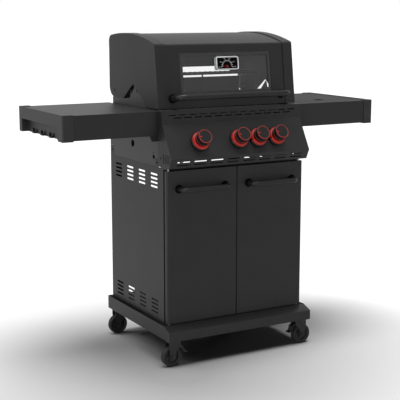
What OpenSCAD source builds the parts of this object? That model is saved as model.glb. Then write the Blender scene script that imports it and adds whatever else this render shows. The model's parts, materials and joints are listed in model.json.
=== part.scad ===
// Gas barbecue grill on a wheeled cabinet, millimetres, +Z up.
// Origin: on the floor, under the middle of the whole grill. The doors face -Y.

/* [Cabinet] */
// Outer width over the cabinet side panels
cabinet_w = 572; // [500:1:680]
// Doors' front face to the cabinet's back edge
cabinet_d = 467; // [440:1:540]
// Height of the cabinet above the base tray
cabinet_h = 565; // [480:1:640]
// Thickness of the folded sheet steel
sheet_t = 1.5; // [1:0.1:2]
// Width of the upright channels at the open back
post_w = 52; // [40:1:70]
// Height of the front and rear top rails
rail_h = 26; // [20:1:40]

/* [Doors] */
// Depth of a door pan
door_t = 22; // [18:1:28]
// Gap between the two doors
door_split = 4; // [2:0.5:8]
// Gap under the doors
door_gap_bottom = 3; // [2:0.5:6]
// Gap above the doors
door_gap_top = 9; // [6:0.5:14]
// Distance of a hinge pin from the door's outer side and front
door_pin_inset = 11; // [9:0.5:14]
// Radius of a door hinge pin
door_pin_r = 3; // [2:0.1:4]
// Distance between the posts of a door handle
door_handle_span = 188; // [140:1:200]
// Stand-off of a door handle's centre line
door_handle_reach = 36; // [26:1:50]
// Radius of a door handle's tube
door_handle_r = 9; // [6:0.5:11]
// Drop of a door handle below the door's top edge
door_handle_drop = 65; // [40:1:120]

/* [Base tray] */
// Width of the base tray
base_w = 606; // [580:1:720]
// Depth of the base tray
base_d = 521; // [500:1:600]
// Height of the base tray
base_h = 50; // [40:1:70]
// How far the base tray stands out in front of the doors
base_front = 45; // [35:1:60]
// Height of the slope along the base tray's front edge
base_slope_h = 15.4; // [8:0.1:24]
// Depth of that slope
base_slope_d = 43.4; // [30:0.1:50]

/* [Casters] */
// Floor to the underside of the base tray
caster_h = 98; // [90:1:120]
// Diameter of a wheel
wheel_d = 75; // [60:1:80]
// Width of a wheel
wheel_w = 24; // [18:1:30]
// Offset of the wheel behind its swivel axis
caster_trail = 8; // [4:1:16]
// Swivel axes, in from the base tray's sides
caster_x = 31; // [27:1:53]
// Front swivel axes, behind the base tray's front edge
caster_front_y = 32; // [30:1:50]
// Rear swivel axes, in front of the base tray's back edge
caster_rear_y = 36; // [30:1:50]
// Radius of a kingpin
kingpin_r = 6; // [5:0.5:8]
// Radius of an axle bolt
axle_r = 4; // [3:0.5:5]
// How far the brake pedals swing, in degrees, at their limit
pedal_swing = 14; // [8:1:16]

/* [Shelves] */
// Width over both side shelves
shelf_span = 1300; // [1150:1:1450]
// Height of the shelf tops above the cabinet
shelf_top = 197.8; // [192:0.1:199]
// Height of a shelf's folded wall
shelf_h = 86; // [60:1:90]
// Shelf front edge, behind the doors' front face
shelf_front = 53.7; // [45:0.1:60]
// Front-to-back depth of a shelf
shelf_d = 420; // [380:1:430]
// How far an end cap stands proud of its shelf
cap_proud = 2.2; // [1:0.1:4]
// How far an end cap reaches along its shelf
cap_w = 40; // [30:1:60]
// Depth of the recess in an end cap
cap_recess = 24; // [12:1:30]

/* [Control panel] */
// Each half of the control panel, past the cabinet's side (negative is inside)
panel_half = -1; // [-16:1:14]
// Thickness of an end cap
panel_cap_t = 4; // [3:0.5:6]
// Height of the panel's top above the shelves
panel_rise = 3; // [2:0.5:5]
// Height of the panel's upright face
panel_upright = 48; // [40:1:60]
// Length of the sloping face
panel_slope = 133; // [120:1:150]
// Lean of the sloping face from upright, in degrees
panel_lean = 30; // [20:1:35]
// Knob pitch along the panel
knob_pitch = 80; // [76:1:84]
// Distance of the knobs' axes below the upper fold
knob_drop = 73; // [60:1:80]
// Travel of a knob when it is pushed
knob_push = 3.5; // [2:0.1:5]
// Turn of a knob, in degrees
knob_turn = 180; // [90:5:270]
// Outer radius of a knob's bezel
bezel_r = 36; // [33:0.5:39]
// Height of a bezel
bezel_h = 19; // [12:0.5:22]
// Radius of a knob's face
knob_r = 26; // [22:0.5:30]
// Distance from the panel to a knob's face
knob_reach = 49; // [44:0.5:55]

/* [Lid] */
// Each half of the lid, past the cabinet's side
lid_half = 1.2; // [-2:0.1:14]
// Lid's front bottom edge, behind the doors' front face
lid_front = 57.5; // [50:0.5:70]
// Lid's back, behind the cabinet's back (negative is in front)
lid_back = -1; // [-27:1:13]
// Height of the top of the lid above the shelves
lid_rise = 265; // [230:1:300]
// Lean of the lid's front face from upright, in degrees
lid_lean = 7.6; // [0:0.1:15]
// Radius of the lid's crown
crown_r = 830; // [700:10:1200]
// Width of a cast lid end along the lid
lid_end_w = 41; // [20:1:60]
// Wall of a cast lid end
lid_end_t = 3.5; // [2.5:0.1:4]
// Width of the window between its frame's edges
window_w = 356; // [250:1:400]
// Height of the window along the lid's front
window_h = 124; // [80:1:130]
// Window's lower edge above the lid's bottom edge, along the front
window_sill = 58; // [50:1:70]
// Width of the recessed border around the window
window_border = 12; // [8:1:16]
// Distance between the posts of the lid handle
lid_handle_span = 454; // [300:1:480]
// Stand-off of the lid handle's centre line
lid_handle_reach = 58; // [45:1:70]
// Radius of the lid handle's tube
lid_handle_r = 11; // [8:0.5:13]
// Lid handle's height above the lid's bottom edge, along the front
lid_handle_up = 35; // [28:1:40]
// Hinge axis, behind the cabinet's back (negative is in front)
hinge_y = -47.4; // [-67:0.1:-43]
// Hinge axis above the shelves
hinge_up = 52.2; // [48:0.1:60]
// Radius of a lid hinge pin
hinge_pin_r = 4; // [3:0.1:5]
// Opening of the lid, in degrees
lid_swing = 88; // [60:1:90]

/* [Firebox] */
// Height of the cooking surface above the shelf tops (negative is below)
grate_drop = -8; // [-20:1:-4]
// Height of a grate bar
grate_bar_h = 12; // [8:1:16]
// Pitch of the grate bars
grate_pitch = 18; // [15:1:24]
// Radius of a burner tube
burner_r = 15; // [10:0.5:18]
// Burner pitch, in knob pitches
burner_step = 2; // [2:1:2]
// Slide of the drip tray towards the back
tray_travel = 260; // [150:1:270]
// Height of the drip tray's wall
tray_h = 26; // [16:1:28]

/* [Side burner] */
// Width of the side burner's cover
cover_w = 282; // [240:1:284]
// Front-to-back depth of the cover
cover_d = 250; // [220:1:280]
// Cover's middle along the shelf, measured from the middle of the grill
cover_x = 476; // [470:1:477]
// Cover's front edge, behind the shelf's front edge
cover_front = 82; // [70:1:100]
// Opening of the cover, in degrees
cover_swing = 100; // [60:1:100]

/* [Hidden] */

// Clearances: a seat between fixed pieces, a running fit, and a gap between moving bodies
seat = 0.2;
run = 0.05;
free = 0.6;
// Overlap of a cutting tool past the face it cuts
past = 1;

charcoal = [0.13, 0.13, 0.14];
red = [0.78, 0.12, 0.08];
steel = [0.6, 0.6, 0.62];
brass = [0.75, 0.6, 0.3];
iron = [0.1, 0.1, 0.1];
rubber = [0.05, 0.05, 0.05];

$fn = 64;

// Heights
base_bottom = caster_h;
base_top = base_bottom + base_h;
cabinet_top = base_top + cabinet_h;
worktop = cabinet_top + shelf_top;
panel_top = worktop + panel_rise;
lid_bottom = panel_top + 3;
lid_top = worktop + lid_rise;
hinge_z = worktop + hinge_up;
grate_top = worktop + grate_drop;

// Depths, measured from the doors' front face at y0. The knobs reach furthest forward
// and the base tray furthest back, and the origin is midway.
panel_set_back = 27.4;
front_reach = (knob_drop + knob_r) * sin(panel_lean) + knob_reach * cos(panel_lean)
    - panel_set_back;
y0 = -(base_d - base_front - front_reach) / 2;
cabinet_back = y0 + cabinet_d;
carcass_front = y0 + door_t + 5;
half_w = cabinet_w / 2;
panel_side = half_w + panel_half;
lid_side = half_w + lid_half;
shelf_y0 = y0 + shelf_front;
shelf_y1 = shelf_y0 + shelf_d;
hinge_at = cabinet_back + hinge_y;

// ---------- shared shapes ----------

// Points along an arc from angle a0 to a1
function arc(c, r, a0, a1, n = 16) =
    [for (i = [0:n]) let (a = a0 + (a1 - a0) * i / n) c + r * [cos(a), sin(a)]];

// Extrudes an outline drawn in the Y-Z plane from x0 to x1
module along_x(x0, x1) {
    translate([x0, 0, 0]) rotate([90, 0, 90]) linear_extrude(x1 - x0) children();
}

// A box from its lowest to its highest corner, and the same in the plane
module block(lo, hi) {
    translate(lo) cube(hi - lo);
}

module block2(lo, hi) {
    translate(lo) square(hi - lo);
}

function reversed(list) = [for (i = [len(list) - 1:-1:0]) list[i]];
// Unit normal on the left of the way from a to b
function left_of(a, b) = let (v = (b - a) / norm(b - a)) [-v.y, v.x];
// A bent line moved to its left by d, with mitred corners
function moved_left(pts, d) = [
    for (i = [0:len(pts) - 1]) let (
        before = left_of(pts[max(i - 1, 0)], pts[max(i, 1)]),
        after = left_of(pts[min(i, len(pts) - 2)], pts[min(i + 1, len(pts) - 1)]))
    pts[i] + d * (before + after) / (1 + before * after)];

// Section of a folded sheet, its thickness on the left of the bent line
module folded(pts, t) {
    polygon(concat(pts, reversed(moved_left(pts, t))));
}

// The same shape on the left and on the right
module both_sides() {
    children();
    mirror([1, 0, 0]) children();
}

// Rectangle with rounded corners, centred, from circles and bars
module rounded_rect(size, r) {
    square([size.x - 2 * r, size.y], center = true);
    square([size.x, size.y - 2 * r], center = true);
    for (sx = [-1, 1], sy = [-1, 1])
        translate([sx * (size.x / 2 - r), sy * (size.y / 2 - r)]) circle(r);
}

// A straight slot, centred, lying along X
module slot(length, width) {
    square([length - width, width], center = true);
    for (s = [-1, 1]) translate([s * (length - width) / 2, 0]) circle(width / 2, $fn = 16);
}

// A bow handle in the XZ plane: posts rise along -Y from y = 0, the bar lies along X
module bow_handle(span, reach, r) {
    bend = 2 * r;
    for (s = [-1, 1]) {
        translate([s * span / 2, 0, 0]) rotate([90, 0, 0]) cylinder(h = reach - bend, r = r);
        translate([s * (span / 2 - bend), -(reach - bend), 0])
            mirror([s < 0 ? 1 : 0, 0, 0]) rotate([0, 0, -90])
                rotate_extrude(angle = 90) translate([bend, 0]) circle(r, $fn = 32);
    }
    translate([-span / 2 + bend, -reach, 0]) rotate([0, 90, 0])
        cylinder(h = span - 2 * bend, r = r);
}

// A sheet-metal pan, open towards -Z of its own frame, with its skin at the top
module pan(size, h, t) {
    difference() {
        translate([0, 0, -h]) linear_extrude(h) square(size, center = true);
        translate([0, 0, -h - past]) linear_extrude(h + past - t)
            square([size.x - 2 * t, size.y - 2 * t], center = true);
    }
}

// A round bar between two points
module rod(a, b, r, n = 24) {
    d = b - a;
    length = norm(d);
    translate(a) rotate([0, acos(d.z / length), atan2(d.y, d.x)])
        cylinder(h = length, r = r, $fn = n);
}

// ---------- base tray and casters ----------

base_front_y = y0 - base_front;
base_back_y = base_front_y + base_d;
swivel_x = base_w / 2 - caster_x;
caster_rail_w = 76;

module base_outline(inset) {
    polygon([
        [base_front_y + inset, base_bottom],
        [base_front_y + inset, base_top - base_slope_h - inset / 3],
        [base_front_y + base_slope_d, base_top - inset],
        [base_back_y - inset, base_top - inset],
        [base_back_y - inset, base_bottom]]);
}

module base_tray() {
    color(charcoal) {
        difference() {
            along_x(-base_w / 2, base_w / 2) base_outline(0);
            translate([0, 0, -past])
                along_x(-base_w / 2 + sheet_t, base_w / 2 - sheet_t) union() {
                    base_outline(sheet_t);
                    translate([0, past]) base_outline(sheet_t);
                }
        }
        both_sides() block(
            [swivel_x - caster_rail_w / 2, base_front_y + sheet_t / 2, base_bottom],
            [min(swivel_x + caster_rail_w / 2, base_w / 2 - sheet_t / 2),
            base_back_y - sheet_t / 2, base_bottom + 2 * sheet_t]);
    }
}

function caster_ys() = [base_front_y + caster_front_y, base_back_y - caster_rear_y];

// Caster 1 front left, 2 front right, 3 rear left, 4 rear right
function caster_at(i) = [i % 2 == 1 ? -swivel_x : swivel_x, caster_ys()[i > 2 ? 1 : 0], 0];

plate_t = 3;
plate_w = 52;
crown_t = 4;
crown_r_out = 23;
crown_gap = 0.8;
crown_top = base_bottom - plate_t - crown_gap;
fork_t = 3;
fork_gap = 1.5;
fork_in = wheel_w / 2 + fork_gap;
leg_w = 23;
wheel_z = wheel_d / 2;
pedal_pivot = [17, crown_top - crown_t - 9];
pedal_pin_r = 2.5;

// Places a piece in a caster's own frame: +X points inboard, origin under the kingpin
module at_caster(i) {
    translate(caster_at(i)) mirror([i % 2 == 1 ? 0 : 1, 0, 0]) children();
}

module caster_plates() {
    color(steel) for (i = [1:4]) translate([caster_at(i).x, caster_at(i).y, 0]) {
        difference() {
            translate([0, 0, base_bottom - plate_t]) linear_extrude(plate_t)
                rounded_rect([plate_w, plate_w], 6);
            for (sx = [-1, 1], sy = [-1, 1])
                translate([sx * plate_w / 3, sy * plate_w / 3, base_bottom - plate_t - past])
                    cylinder(h = plate_t + 2 * past, r = 2.6);
        }
        translate([0, 0, crown_top - crown_t - 2])
            cylinder(h = base_bottom - crown_top + crown_t + 2 - plate_t / 2, r = kingpin_r);
        translate([0, 0, crown_top - crown_t - 4]) cylinder(h = 3.4, r = kingpin_r + 3);
    }
}

// Outline of a fork leg, in the plane across the axle
module fork_leg() {
    difference() {
        union() {
            translate([-caster_trail, wheel_z]) circle(leg_w / 2);
            polygon([
                [-caster_trail - leg_w / 2, wheel_z], [-caster_trail + leg_w / 2, wheel_z],
                [-caster_trail + leg_w / 2 + 1, wheel_z + 16], [12, wheel_z + 26],
                [pedal_pivot.x + 7, pedal_pivot.y - 4], [crown_r_out, crown_top - crown_t / 2],
                [-crown_r_out, crown_top - crown_t / 2], [-crown_r_out, crown_top - 16]]);
        }
        translate([-caster_trail, wheel_z]) circle(axle_r + run);
        translate(pedal_pivot) circle(pedal_pin_r + run);
    }
}

module fork_body() {
    difference() {
        union() {
            translate([0, 0, crown_top - crown_t]) cylinder(h = crown_t, r = crown_r_out);
            for (s = [-1, 1])
                translate([0, s * (fork_in + fork_t / 2) + fork_t / 2, 0])
                    rotate([90, 0, 0]) linear_extrude(fork_t) fork_leg();
        }
        translate([0, 0, crown_top - crown_t - past])
            cylinder(h = crown_t + 2 * past, r = kingpin_r + run);
    }
}

module axle_bolt() {
    reach = fork_in + fork_t;
    translate([-caster_trail, 0, wheel_z]) rotate([90, 0, 0]) {
        translate([0, 0, -reach - seat]) cylinder(h = 2 * (reach + seat), r = axle_r);
        for (s = [-1, 1]) translate([0, 0, s * (reach + seat + 2) - 2])
            cylinder(h = 4, r = axle_r + 3, $fn = 6);
    }
}

module caster_fork(i) {
    at_caster(i) {
        color(charcoal) fork_body();
        color(steel) axle_bolt();
    }
}

module caster_wheel(i) {
    hub_r = wheel_d / 2 - 11;
    at_caster(i) translate([-caster_trail, 0, wheel_z]) rotate([90, 0, 0]) {
        color(iron) difference() {
            union() {
                cylinder(h = wheel_w - 10, r = hub_r, center = true);
                cylinder(h = wheel_w, r = axle_r + 5, center = true);
            }
            cylinder(h = wheel_w + 2 * past, r = axle_r + run, center = true);
        }
        color(rubber) rotate_extrude($fn = 96) polygon(concat(
            [[hub_r + seat, -wheel_w / 2 + 3], [wheel_d / 2 - 6, -wheel_w / 2]],
            arc([wheel_d / 2 - 6, -wheel_w / 2 + 6], 6, -80, 0, 4),
            arc([wheel_d / 2 - 6, wheel_w / 2 - 6], 6, 0, 80, 4),
            [[wheel_d / 2 - 6, wheel_w / 2], [hub_r + seat, wheel_w / 2 - 3]]));
    }
}

module brake_pedal(i) {
    w = 2 * (fork_in - free);
    tip = [52, wheel_z + 12];
    at_caster(i) color(charcoal) {
        rotate([90, 0, 0]) translate([0, 0, -w / 2]) linear_extrude(w) polygon(concat(
            arc(pedal_pivot, 4.5, 200, 20, 10),
            [pedal_pivot + [19, -9], [tip.x - 12, tip.y + 5], [tip.x, tip.y + 1.5],
            tip - [1, 1.5], [tip.x - 14, tip.y + 1], pedal_pivot + [16, -12]]));
        translate([pedal_pivot.x, 0, pedal_pivot.y]) rotate([90, 0, 0])
            cylinder(h = 2 * (fork_in + fork_t), r = pedal_pin_r, center = true);
    }
}

// ---------- cabinet ----------

vent_l = 54;
vent_w = 7;
vent_pitch = 15;
vent_rows = 4;
vent_cols = 4;

vent_first = carcass_front + 73;
vent_last = cabinet_back - 72.4;
vent_step = (vent_last - vent_first) / (vent_cols - 1);

// Rows of slots in a side panel, drawn in Y-Z
module side_vents() {
    for (c = [0:vent_cols - 1], r = [0:vent_rows - 1])
        for (z = [cabinet_top - 30 - r * vent_pitch, base_top + 26 + r * vent_pitch])
            translate([vent_first + c * vent_step, z]) slot(vent_l, vent_w);
}

side_flange = 8;
// Width and height of the tabs on a side panel's top edge, at the front and at the back
front_tab = [22, 27];
rear_tab = [30, 36];

// Side sheet with an inward flange behind the door, and two tabs that rise into the
// shoulder plate
module side_panels() {
    color(charcoal) both_sides() {
        along_x(half_w - sheet_t, half_w) difference() {
            union() {
                block2([carcass_front, base_top], [cabinet_back, cabinet_top]);
                block2([shoulder_front, cabinet_top - past],
                    [shoulder_front + front_tab.x, cabinet_top + front_tab.y]);
                block2([cabinet_back - rear_tab.x, cabinet_top - past],
                    [cabinet_back, cabinet_top + rear_tab.y]);
            }
            side_vents();
        }
        block([half_w - side_flange, carcass_front, base_top],
            [half_w, carcass_front + sheet_t, cabinet_top - rail_h - seat]);
    }
}

post_d = 15;
inner_half = half_w - sheet_t - seat;
// The front rail stays behind the sweep of the doors' rear corners
rail_front = y0 + door_pin_inset + norm([door_pin_inset, door_t - door_pin_inset]) + 1;

module cabinet_frame() {
    color(charcoal) {
        both_sides() difference() {
            block([inner_half - post_w, cabinet_back - post_d, base_top + seat],
                [inner_half, cabinet_back, cabinet_top]);
            block([inner_half - post_w + sheet_t, cabinet_back - post_d - past,
                base_top + seat - past],
                [inner_half - sheet_t, cabinet_back - sheet_t, cabinet_top + past]);
        }
        block([-inner_half, rail_front, cabinet_top - rail_h],
            [inner_half, rail_front + 14, cabinet_top]);
        // Upstand behind the door lugs
        block([-inner_half, rail_front + 14 - sheet_t, cabinet_top - past],
            [inner_half, rail_front + 14, cabinet_top + 7]);
        block([-inner_half + post_w + seat, cabinet_back - 14, cabinet_top - rail_h],
            [inner_half - post_w - seat, cabinet_back, cabinet_top]);
        // Magnetic catches under the front rail
        both_sides() block([14, y0 + door_t + 0.3, cabinet_top - rail_h - 12],
            [44, rail_front + 14, cabinet_top - rail_h - seat]);
    }
}

door_bottom = base_top + door_gap_bottom;
door_top = cabinet_top - door_gap_top;
door_x1 = half_w;
door_x0 = door_split / 2;
door_pin_x = door_x1 - door_pin_inset;
door_pin_y = y0 + door_pin_inset;
door_flange = 5;
door_round = 6;

// Right-hand door; the left one is its mirror image
module door() {
    difference() {
        translate([0, 0, door_bottom]) linear_extrude(door_top - door_bottom) {
            block2([door_x0, y0], [door_x1 - door_round, y0 + door_t]);
            block2([door_x0, y0 + door_round], [door_x1, y0 + door_t - door_round]);
            for (y = [y0 + door_round, y0 + door_t - door_round])
                translate([door_x1 - door_round, y]) circle(door_round);
        }
        block([door_x0 + sheet_t, y0 + sheet_t, door_bottom + sheet_t],
            [door_x1 - sheet_t - door_round / 3, y0 + door_t - sheet_t, door_top - sheet_t]);
        block([door_x0 + 24, y0 + door_t / 2, door_bottom + 24],
            [door_x1 - 24, y0 + door_t + past, door_top - 24]);
        translate([door_pin_x, door_pin_y, door_bottom - past])
            cylinder(h = cabinet_h + 2 * past, r = door_pin_r + run);
    }
}

module door_right() {
    color(charcoal) door();
}

module door_left() {
    color(charcoal) mirror([1, 0, 0]) door();
}

module door_handle() {
    translate([(door_x0 + door_x1) / 2, y0 - seat, door_top - door_handle_drop])
        bow_handle(door_handle_span, door_handle_reach, door_handle_r);
}

module door_handle_right() {
    color(iron) door_handle();
}

module door_handle_left() {
    color(iron) mirror([1, 0, 0]) door_handle();
}

// Pins and bushes: the lower ones stand on the base tray, the upper ones hang from a
// lug that the front rail carries
pin_grip = 18;

module door_hinge_pins() {
    color("white") both_sides() {
        translate([door_pin_x, door_pin_y, base_top])
            cylinder(h = door_gap_bottom + pin_grip, r = door_pin_r);
        translate([door_pin_x, door_pin_y, base_top])
            cylinder(h = door_gap_bottom - 0.3, r = door_pin_r + 2.5);
        translate([door_pin_x, door_pin_y, door_top - pin_grip])
            cylinder(h = door_gap_top + pin_grip + sheet_t, r = door_pin_r);
        block([door_pin_x - 8, door_pin_y - 6, cabinet_top + seat],
            [door_pin_x + 8, rail_front + 12, cabinet_top + seat + 2 * sheet_t]);
    }
}

// ---------- shoulders and firebox ----------

shoulder_front = y0 + 64;
shoulder_back = cabinet_back;
bracket_back = cabinet_back - 29;
shoulder_z0 = cabinet_top + seat;
pipe_hole_r = 13.5;
pipe_hole_y = (shoulder_front + bracket_back) / 2 + 20;
pipe_hole_z = shoulder_z0 + 62;
keyhole_r = 8;
tab_gap = 1.2;
keyhole_y = shoulder_front + 36;
keyhole_z = shoulder_z0 + 32;

module shoulder_plates() {
    color(charcoal) both_sides()
        along_x(half_w - sheet_t, half_w) difference() {
            block2([shoulder_front, shoulder_z0], [shoulder_back, worktop - 1]);
            block2([shoulder_front - past, shoulder_z0 - past],
                [shoulder_front + front_tab.x + tab_gap, cabinet_top + front_tab.y + tab_gap]);
            block2([shoulder_back - rear_tab.x - tab_gap, shoulder_z0 - past],
                [shoulder_back + past, cabinet_top + rear_tab.y + tab_gap]);
            translate([pipe_hole_y, pipe_hole_z]) circle(pipe_hole_r);
            translate([keyhole_y, keyhole_z]) circle(keyhole_r);
            translate([keyhole_y, keyhole_z + 9]) rotate(90) slot(18, 9);
        }
}

box_half = half_w - 6.5;
box_front = y0 + 67;
box_back = cabinet_back - 19;
box_rim = worktop;
box_back_top = hinge_z + 34;
box_shoulder = cabinet_top + 78;
box_floor = cabinet_top + 44;
slot_y0 = box_front + 105;
slot_y1 = box_back - 110;
ledge_w = 13;
grate_seat = grate_top - grate_bar_h - 2;
tamer_seat = box_shoulder + 52;
burner_z = box_shoulder + 21;

// Folded trough: front wall, slopes, flat floor and back wall, with ledges inside
module trough_outline() {
    folded([
        [box_front, box_rim], [box_front, box_shoulder], [slot_y0 - 8, box_floor],
        [slot_y1 + 8, box_floor], [box_back, box_shoulder], [box_back, box_back_top]],
        sheet_t);
    for (z = [grate_seat, tamer_seat]) {
        block2([box_front + sheet_t / 2, z - sheet_t], [box_front + ledge_w, z]);
        block2([box_back - ledge_w, z - sheet_t], [box_back - sheet_t / 2, z]);
    }
}

module firebox() {
    color(iron) difference() {
        along_x(-box_half, box_half) trough_outline();
        block([-box_half + 24, slot_y0, box_floor - past],
            [box_half - 24, slot_y1, box_floor + sheet_t + past]);
        for (x = burner_xs())
            translate([x, box_front - past, burner_z]) rotate([-90, 0, 0])
                cylinder(h = sheet_t + 2 * past, r = burner_r + seat);
    }
}

function burner_xs() = [for (i = [-1:1]) i * burner_step * knob_pitch];

side_in = box_half + seat;
side_out = half_w - 3.5;
ear_r = 19;
peak_y = box_front + 175;

// Cast side of the firebox: it rises to a peak in the lid's notch and to a hinge ear,
// and is thicker below the rim, where it bears on the shoulder plate
module firebox_sides() {
    color(iron) both_sides() difference() {
        union() {
            along_x(side_in, side_out) {
                polygon([
                    [box_front, box_floor], [box_back, box_floor],
                    [box_back, worktop + 24], [peak_y + 101, worktop + 24],
                    [peak_y + 58, worktop + 29], [peak_y + 10, hinge_z + 24],
                    [peak_y + 5, hinge_z + 17], [peak_y - 1, hinge_z + 1],
                    [peak_y - 22, hinge_z + 1], [peak_y - 60, worktop + 34],
                    [peak_y - 77, box_rim + 1],
                    [box_front, box_rim + 1]]);
                translate([hinge_at, hinge_z]) circle(ear_r);
                block2([hinge_at - ear_r, worktop], [hinge_at + ear_r, hinge_z]);
            }
            block([side_out - 0.5, box_front + 3, box_floor + 8],
                [half_w - sheet_t - seat, bracket_back - 3, worktop - 3]);
        }
        along_x(side_in - past, half_w) {
            translate([hinge_at, hinge_z]) circle(hinge_pin_r + run);
            translate([pipe_hole_y, pipe_hole_z]) circle(pipe_hole_r);
        }
    }
}

module lid_hinge_pins() {
    color(steel) both_sides() translate([0, hinge_at, hinge_z]) rotate([0, 90, 0]) {
        translate([0, 0, side_in - 5]) cylinder(h = lid_side - side_in + 4.4, r = hinge_pin_r);
        translate([0, 0, side_in - 7]) cylinder(h = 7 - seat, r = hinge_pin_r + 3, $fn = 6);
    }
}

module main_burners() {
    y_front = box_front - 12;
    y_back = box_back - ledge_w - 8;
    color(steel) for (x = burner_xs()) translate([x, y_front, burner_z]) rotate([-90, 0, 0])
        difference() {
            cylinder(h = y_back - y_front, r = burner_r);
            translate([0, 0, -past]) cylinder(h = y_back - y_front + past - 2, r = burner_r - 1.5);
            // Gas ports along both sides, as one long slit each
            for (s = [-1, 1]) rotate([0, 0, -90 + s * 62])
                translate([burner_r - 2, -0.8, 40]) cube([4, 1.6, y_back - y_front - 60]);
        }
}

tamer_w = 104;
tamer_rise = 26;

module flame_tamers() {
    t = sheet_t;
    length = box_back - box_front - 2 * sheet_t - 4;
    color(steel) for (x = burner_xs())
        translate([x, box_front + sheet_t + 2 + length, tamer_seat + seat]) rotate([90, 0, 0])
            linear_extrude(length) polygon([
                [-tamer_w / 2, 0], [0, tamer_rise], [tamer_w / 2, 0],
                [tamer_w / 2 - 2 * t, 0], [0, tamer_rise - t], [-tamer_w / 2 + 2 * t, 0]]);
}

// Two cast grates side by side
module cooking_grates() {
    y_a = box_front + sheet_t + 2;
    y_b = box_back - sheet_t - 2;
    z0 = grate_seat + seat;
    color(iron) both_sides() {
        for (i = [0:grate_bars]) let (x = 1 + i * grate_step)
            block([x, y_a, z0], [x + 8, y_b, grate_top]);
        for (y = [y_a, (y_a + y_b) / 2 - 5, y_b - 10])
            block([1, y, z0], [grate_half, y + 10, grate_top - 3]);
    }
}

rack_z = hinge_z + 54;
rack_r = 3;

grate_half = box_half - 4;
grate_bars = floor((grate_half - 12) / grate_pitch);
grate_step = (grate_half - 9) / grate_bars;

// Wire rack: its legs stand on bars of the grates
module warming_rack() {
    x1 = grate_half - 4;
    x_inner = 5 + round(68 / grate_step) * grate_step;
    y_a = box_back - 138;
    y_b = box_back - 48;
    wires = 24;
    foot = grate_top + seat;
    color(steel) {
        for (y = [y_a, y_b]) rod([-x1, y, rack_z], [x1, y, rack_z], rack_r);
        for (i = [0:wires]) let (x = -x1 + 2 * x1 * i / wires)
            rod([x, y_a, rack_z + 3], [x, y_b, rack_z + 3], 1.5, 12);
        for (s = [-1, 1]) {
            for (y = [y_a, y_b]) rod([s * x1, y, foot], [s * x1, y, rack_z + 3], rack_r);
            rod([s * x_inner, y_b, foot], [s * x_inner, y_b, rack_z], rack_r);
        }
    }
}

module igniter_electrodes() {
    color("white") for (x = burner_xs()) translate([x + burner_r + 9, box_front + 58, 0]) {
        translate([0, 0, burner_z + 8]) rotate([0, -55, 0])
            cylinder(h = 6, r = 1.2, $fn = 16);
        rod([0, 0, burner_z + 8], [0, -58 + sheet_t + seat, burner_z + 8], 3.5, 24);
    }
}

// ---------- drip tray ----------

runner_x = half_w - sheet_t - seat;
tray_z = cabinet_top + 3;
tray_half = runner_x - 5;
tray_y0 = slot_y0 - 14;
tray_y1 = cabinet_back - 6;

module tray_runners() {
    color(steel) both_sides() {
        difference() {
            block([runner_x - 22, tray_y0 - 6, tray_z],
                [runner_x, cabinet_back - 3, box_floor - 2]);
            block([runner_x - 22 - past, tray_y0 - 6 - past, tray_z + sheet_t],
                [runner_x - sheet_t, cabinet_back - 3 + past, box_floor - 2 + past]);
        }
    }
}

module drip_tray() {
    t = sheet_t;
    z0 = tray_z + sheet_t + seat;
    color(steel) {
        difference() {
            block([-tray_half, tray_y0, z0], [tray_half, tray_y1, z0 + tray_h]);
            block([-tray_half + t, tray_y0 + t, z0 + t],
                [tray_half - t, tray_y1 - t, z0 + tray_h + past]);
        }
        // Pull lip at the back
        block([-70, tray_y1 - t / 2, z0 + 4], [70, tray_y1 + 14, z0 + 4 + t]);
        block([-70, tray_y1 + 14 - t, z0 + 4 - 9], [70, tray_y1 + 14, z0 + 4 + t / 2]);
    }
}

// ---------- control panel ----------

fold_y = y0 + panel_set_back;
fold_z = panel_top - panel_upright;
toe_y = fold_y - panel_slope * sin(panel_lean);
toe_z = fold_z - panel_slope * cos(panel_lean);
return_d = 17.4;
return_h = 35.4;
return_lean = atan2(return_d, return_h);
lip_y = toe_y + return_d;
lip_z = toe_z - return_h;
panel_back = y0 + lid_front + 4;
panel_n = [0, -cos(panel_lean), sin(panel_lean)];
knob_at = [0, fold_y - knob_drop * sin(panel_lean), fold_z - knob_drop * cos(panel_lean)];
stem_r = 4;

function knob_xs() = [-2 * knob_pitch, 0, knob_pitch, 2 * knob_pitch];

// Bent line of the panel's outer face: top flange, upright, slope, return and lip
panel_path = [
    [panel_back, panel_top], [fold_y, panel_top], [fold_y, fold_z], [toe_y, toe_z],
    [lip_y, lip_z], [lip_y + 12, lip_z]];

module at_knob(x) {
    translate([x, knob_at.y, knob_at.z]) rotate([90 - panel_lean, 0, 0]) children();
}

top_slots = 12;
top_slot_pitch = 41.5;
toe_slots = 8;
toe_slot_pitch = 67.5;

module control_panel() {
    t = sheet_t;
    color(charcoal) difference() {
        along_x(-panel_side, panel_side) folded(panel_path, t);
        for (x = knob_xs()) at_knob(x) translate([0, 0, -10]) cylinder(h = 20, r = stem_r + 3);
        // Two staggered rows of slots in the upright face, the upper row one slot longer
        for (row = [0, 1], i = [0:top_slots - row]) let (
            x = (i - (top_slots - row) / 2) * top_slot_pitch)
            translate([x, fold_y - past, panel_top - 17 - row * 10]) rotate([-90, 0, 0])
                linear_extrude(t + 2 * past) slot(31, 4);
        // Two rows of slots in the face that returns under the knobs
        for (i = [0:toe_slots - 1], f = [0.36, 0.68])
            translate([(i - (toe_slots - 1) / 2) * toe_slot_pitch,
                toe_y + return_d * f, toe_z - return_h * f])
                rotate([90 + return_lean, 0, 0])
                translate([0, 0, -4]) linear_extrude(8) slot(50, 5);
        // Row of small holes in the top flange
        for (i = [-23:23])
            translate([i * 11.5, y0 + lid_front - 6, panel_top - t - past])
                cylinder(h = t + 2 * past, r = 2.6, $fn = 16);
    }
}

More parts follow.
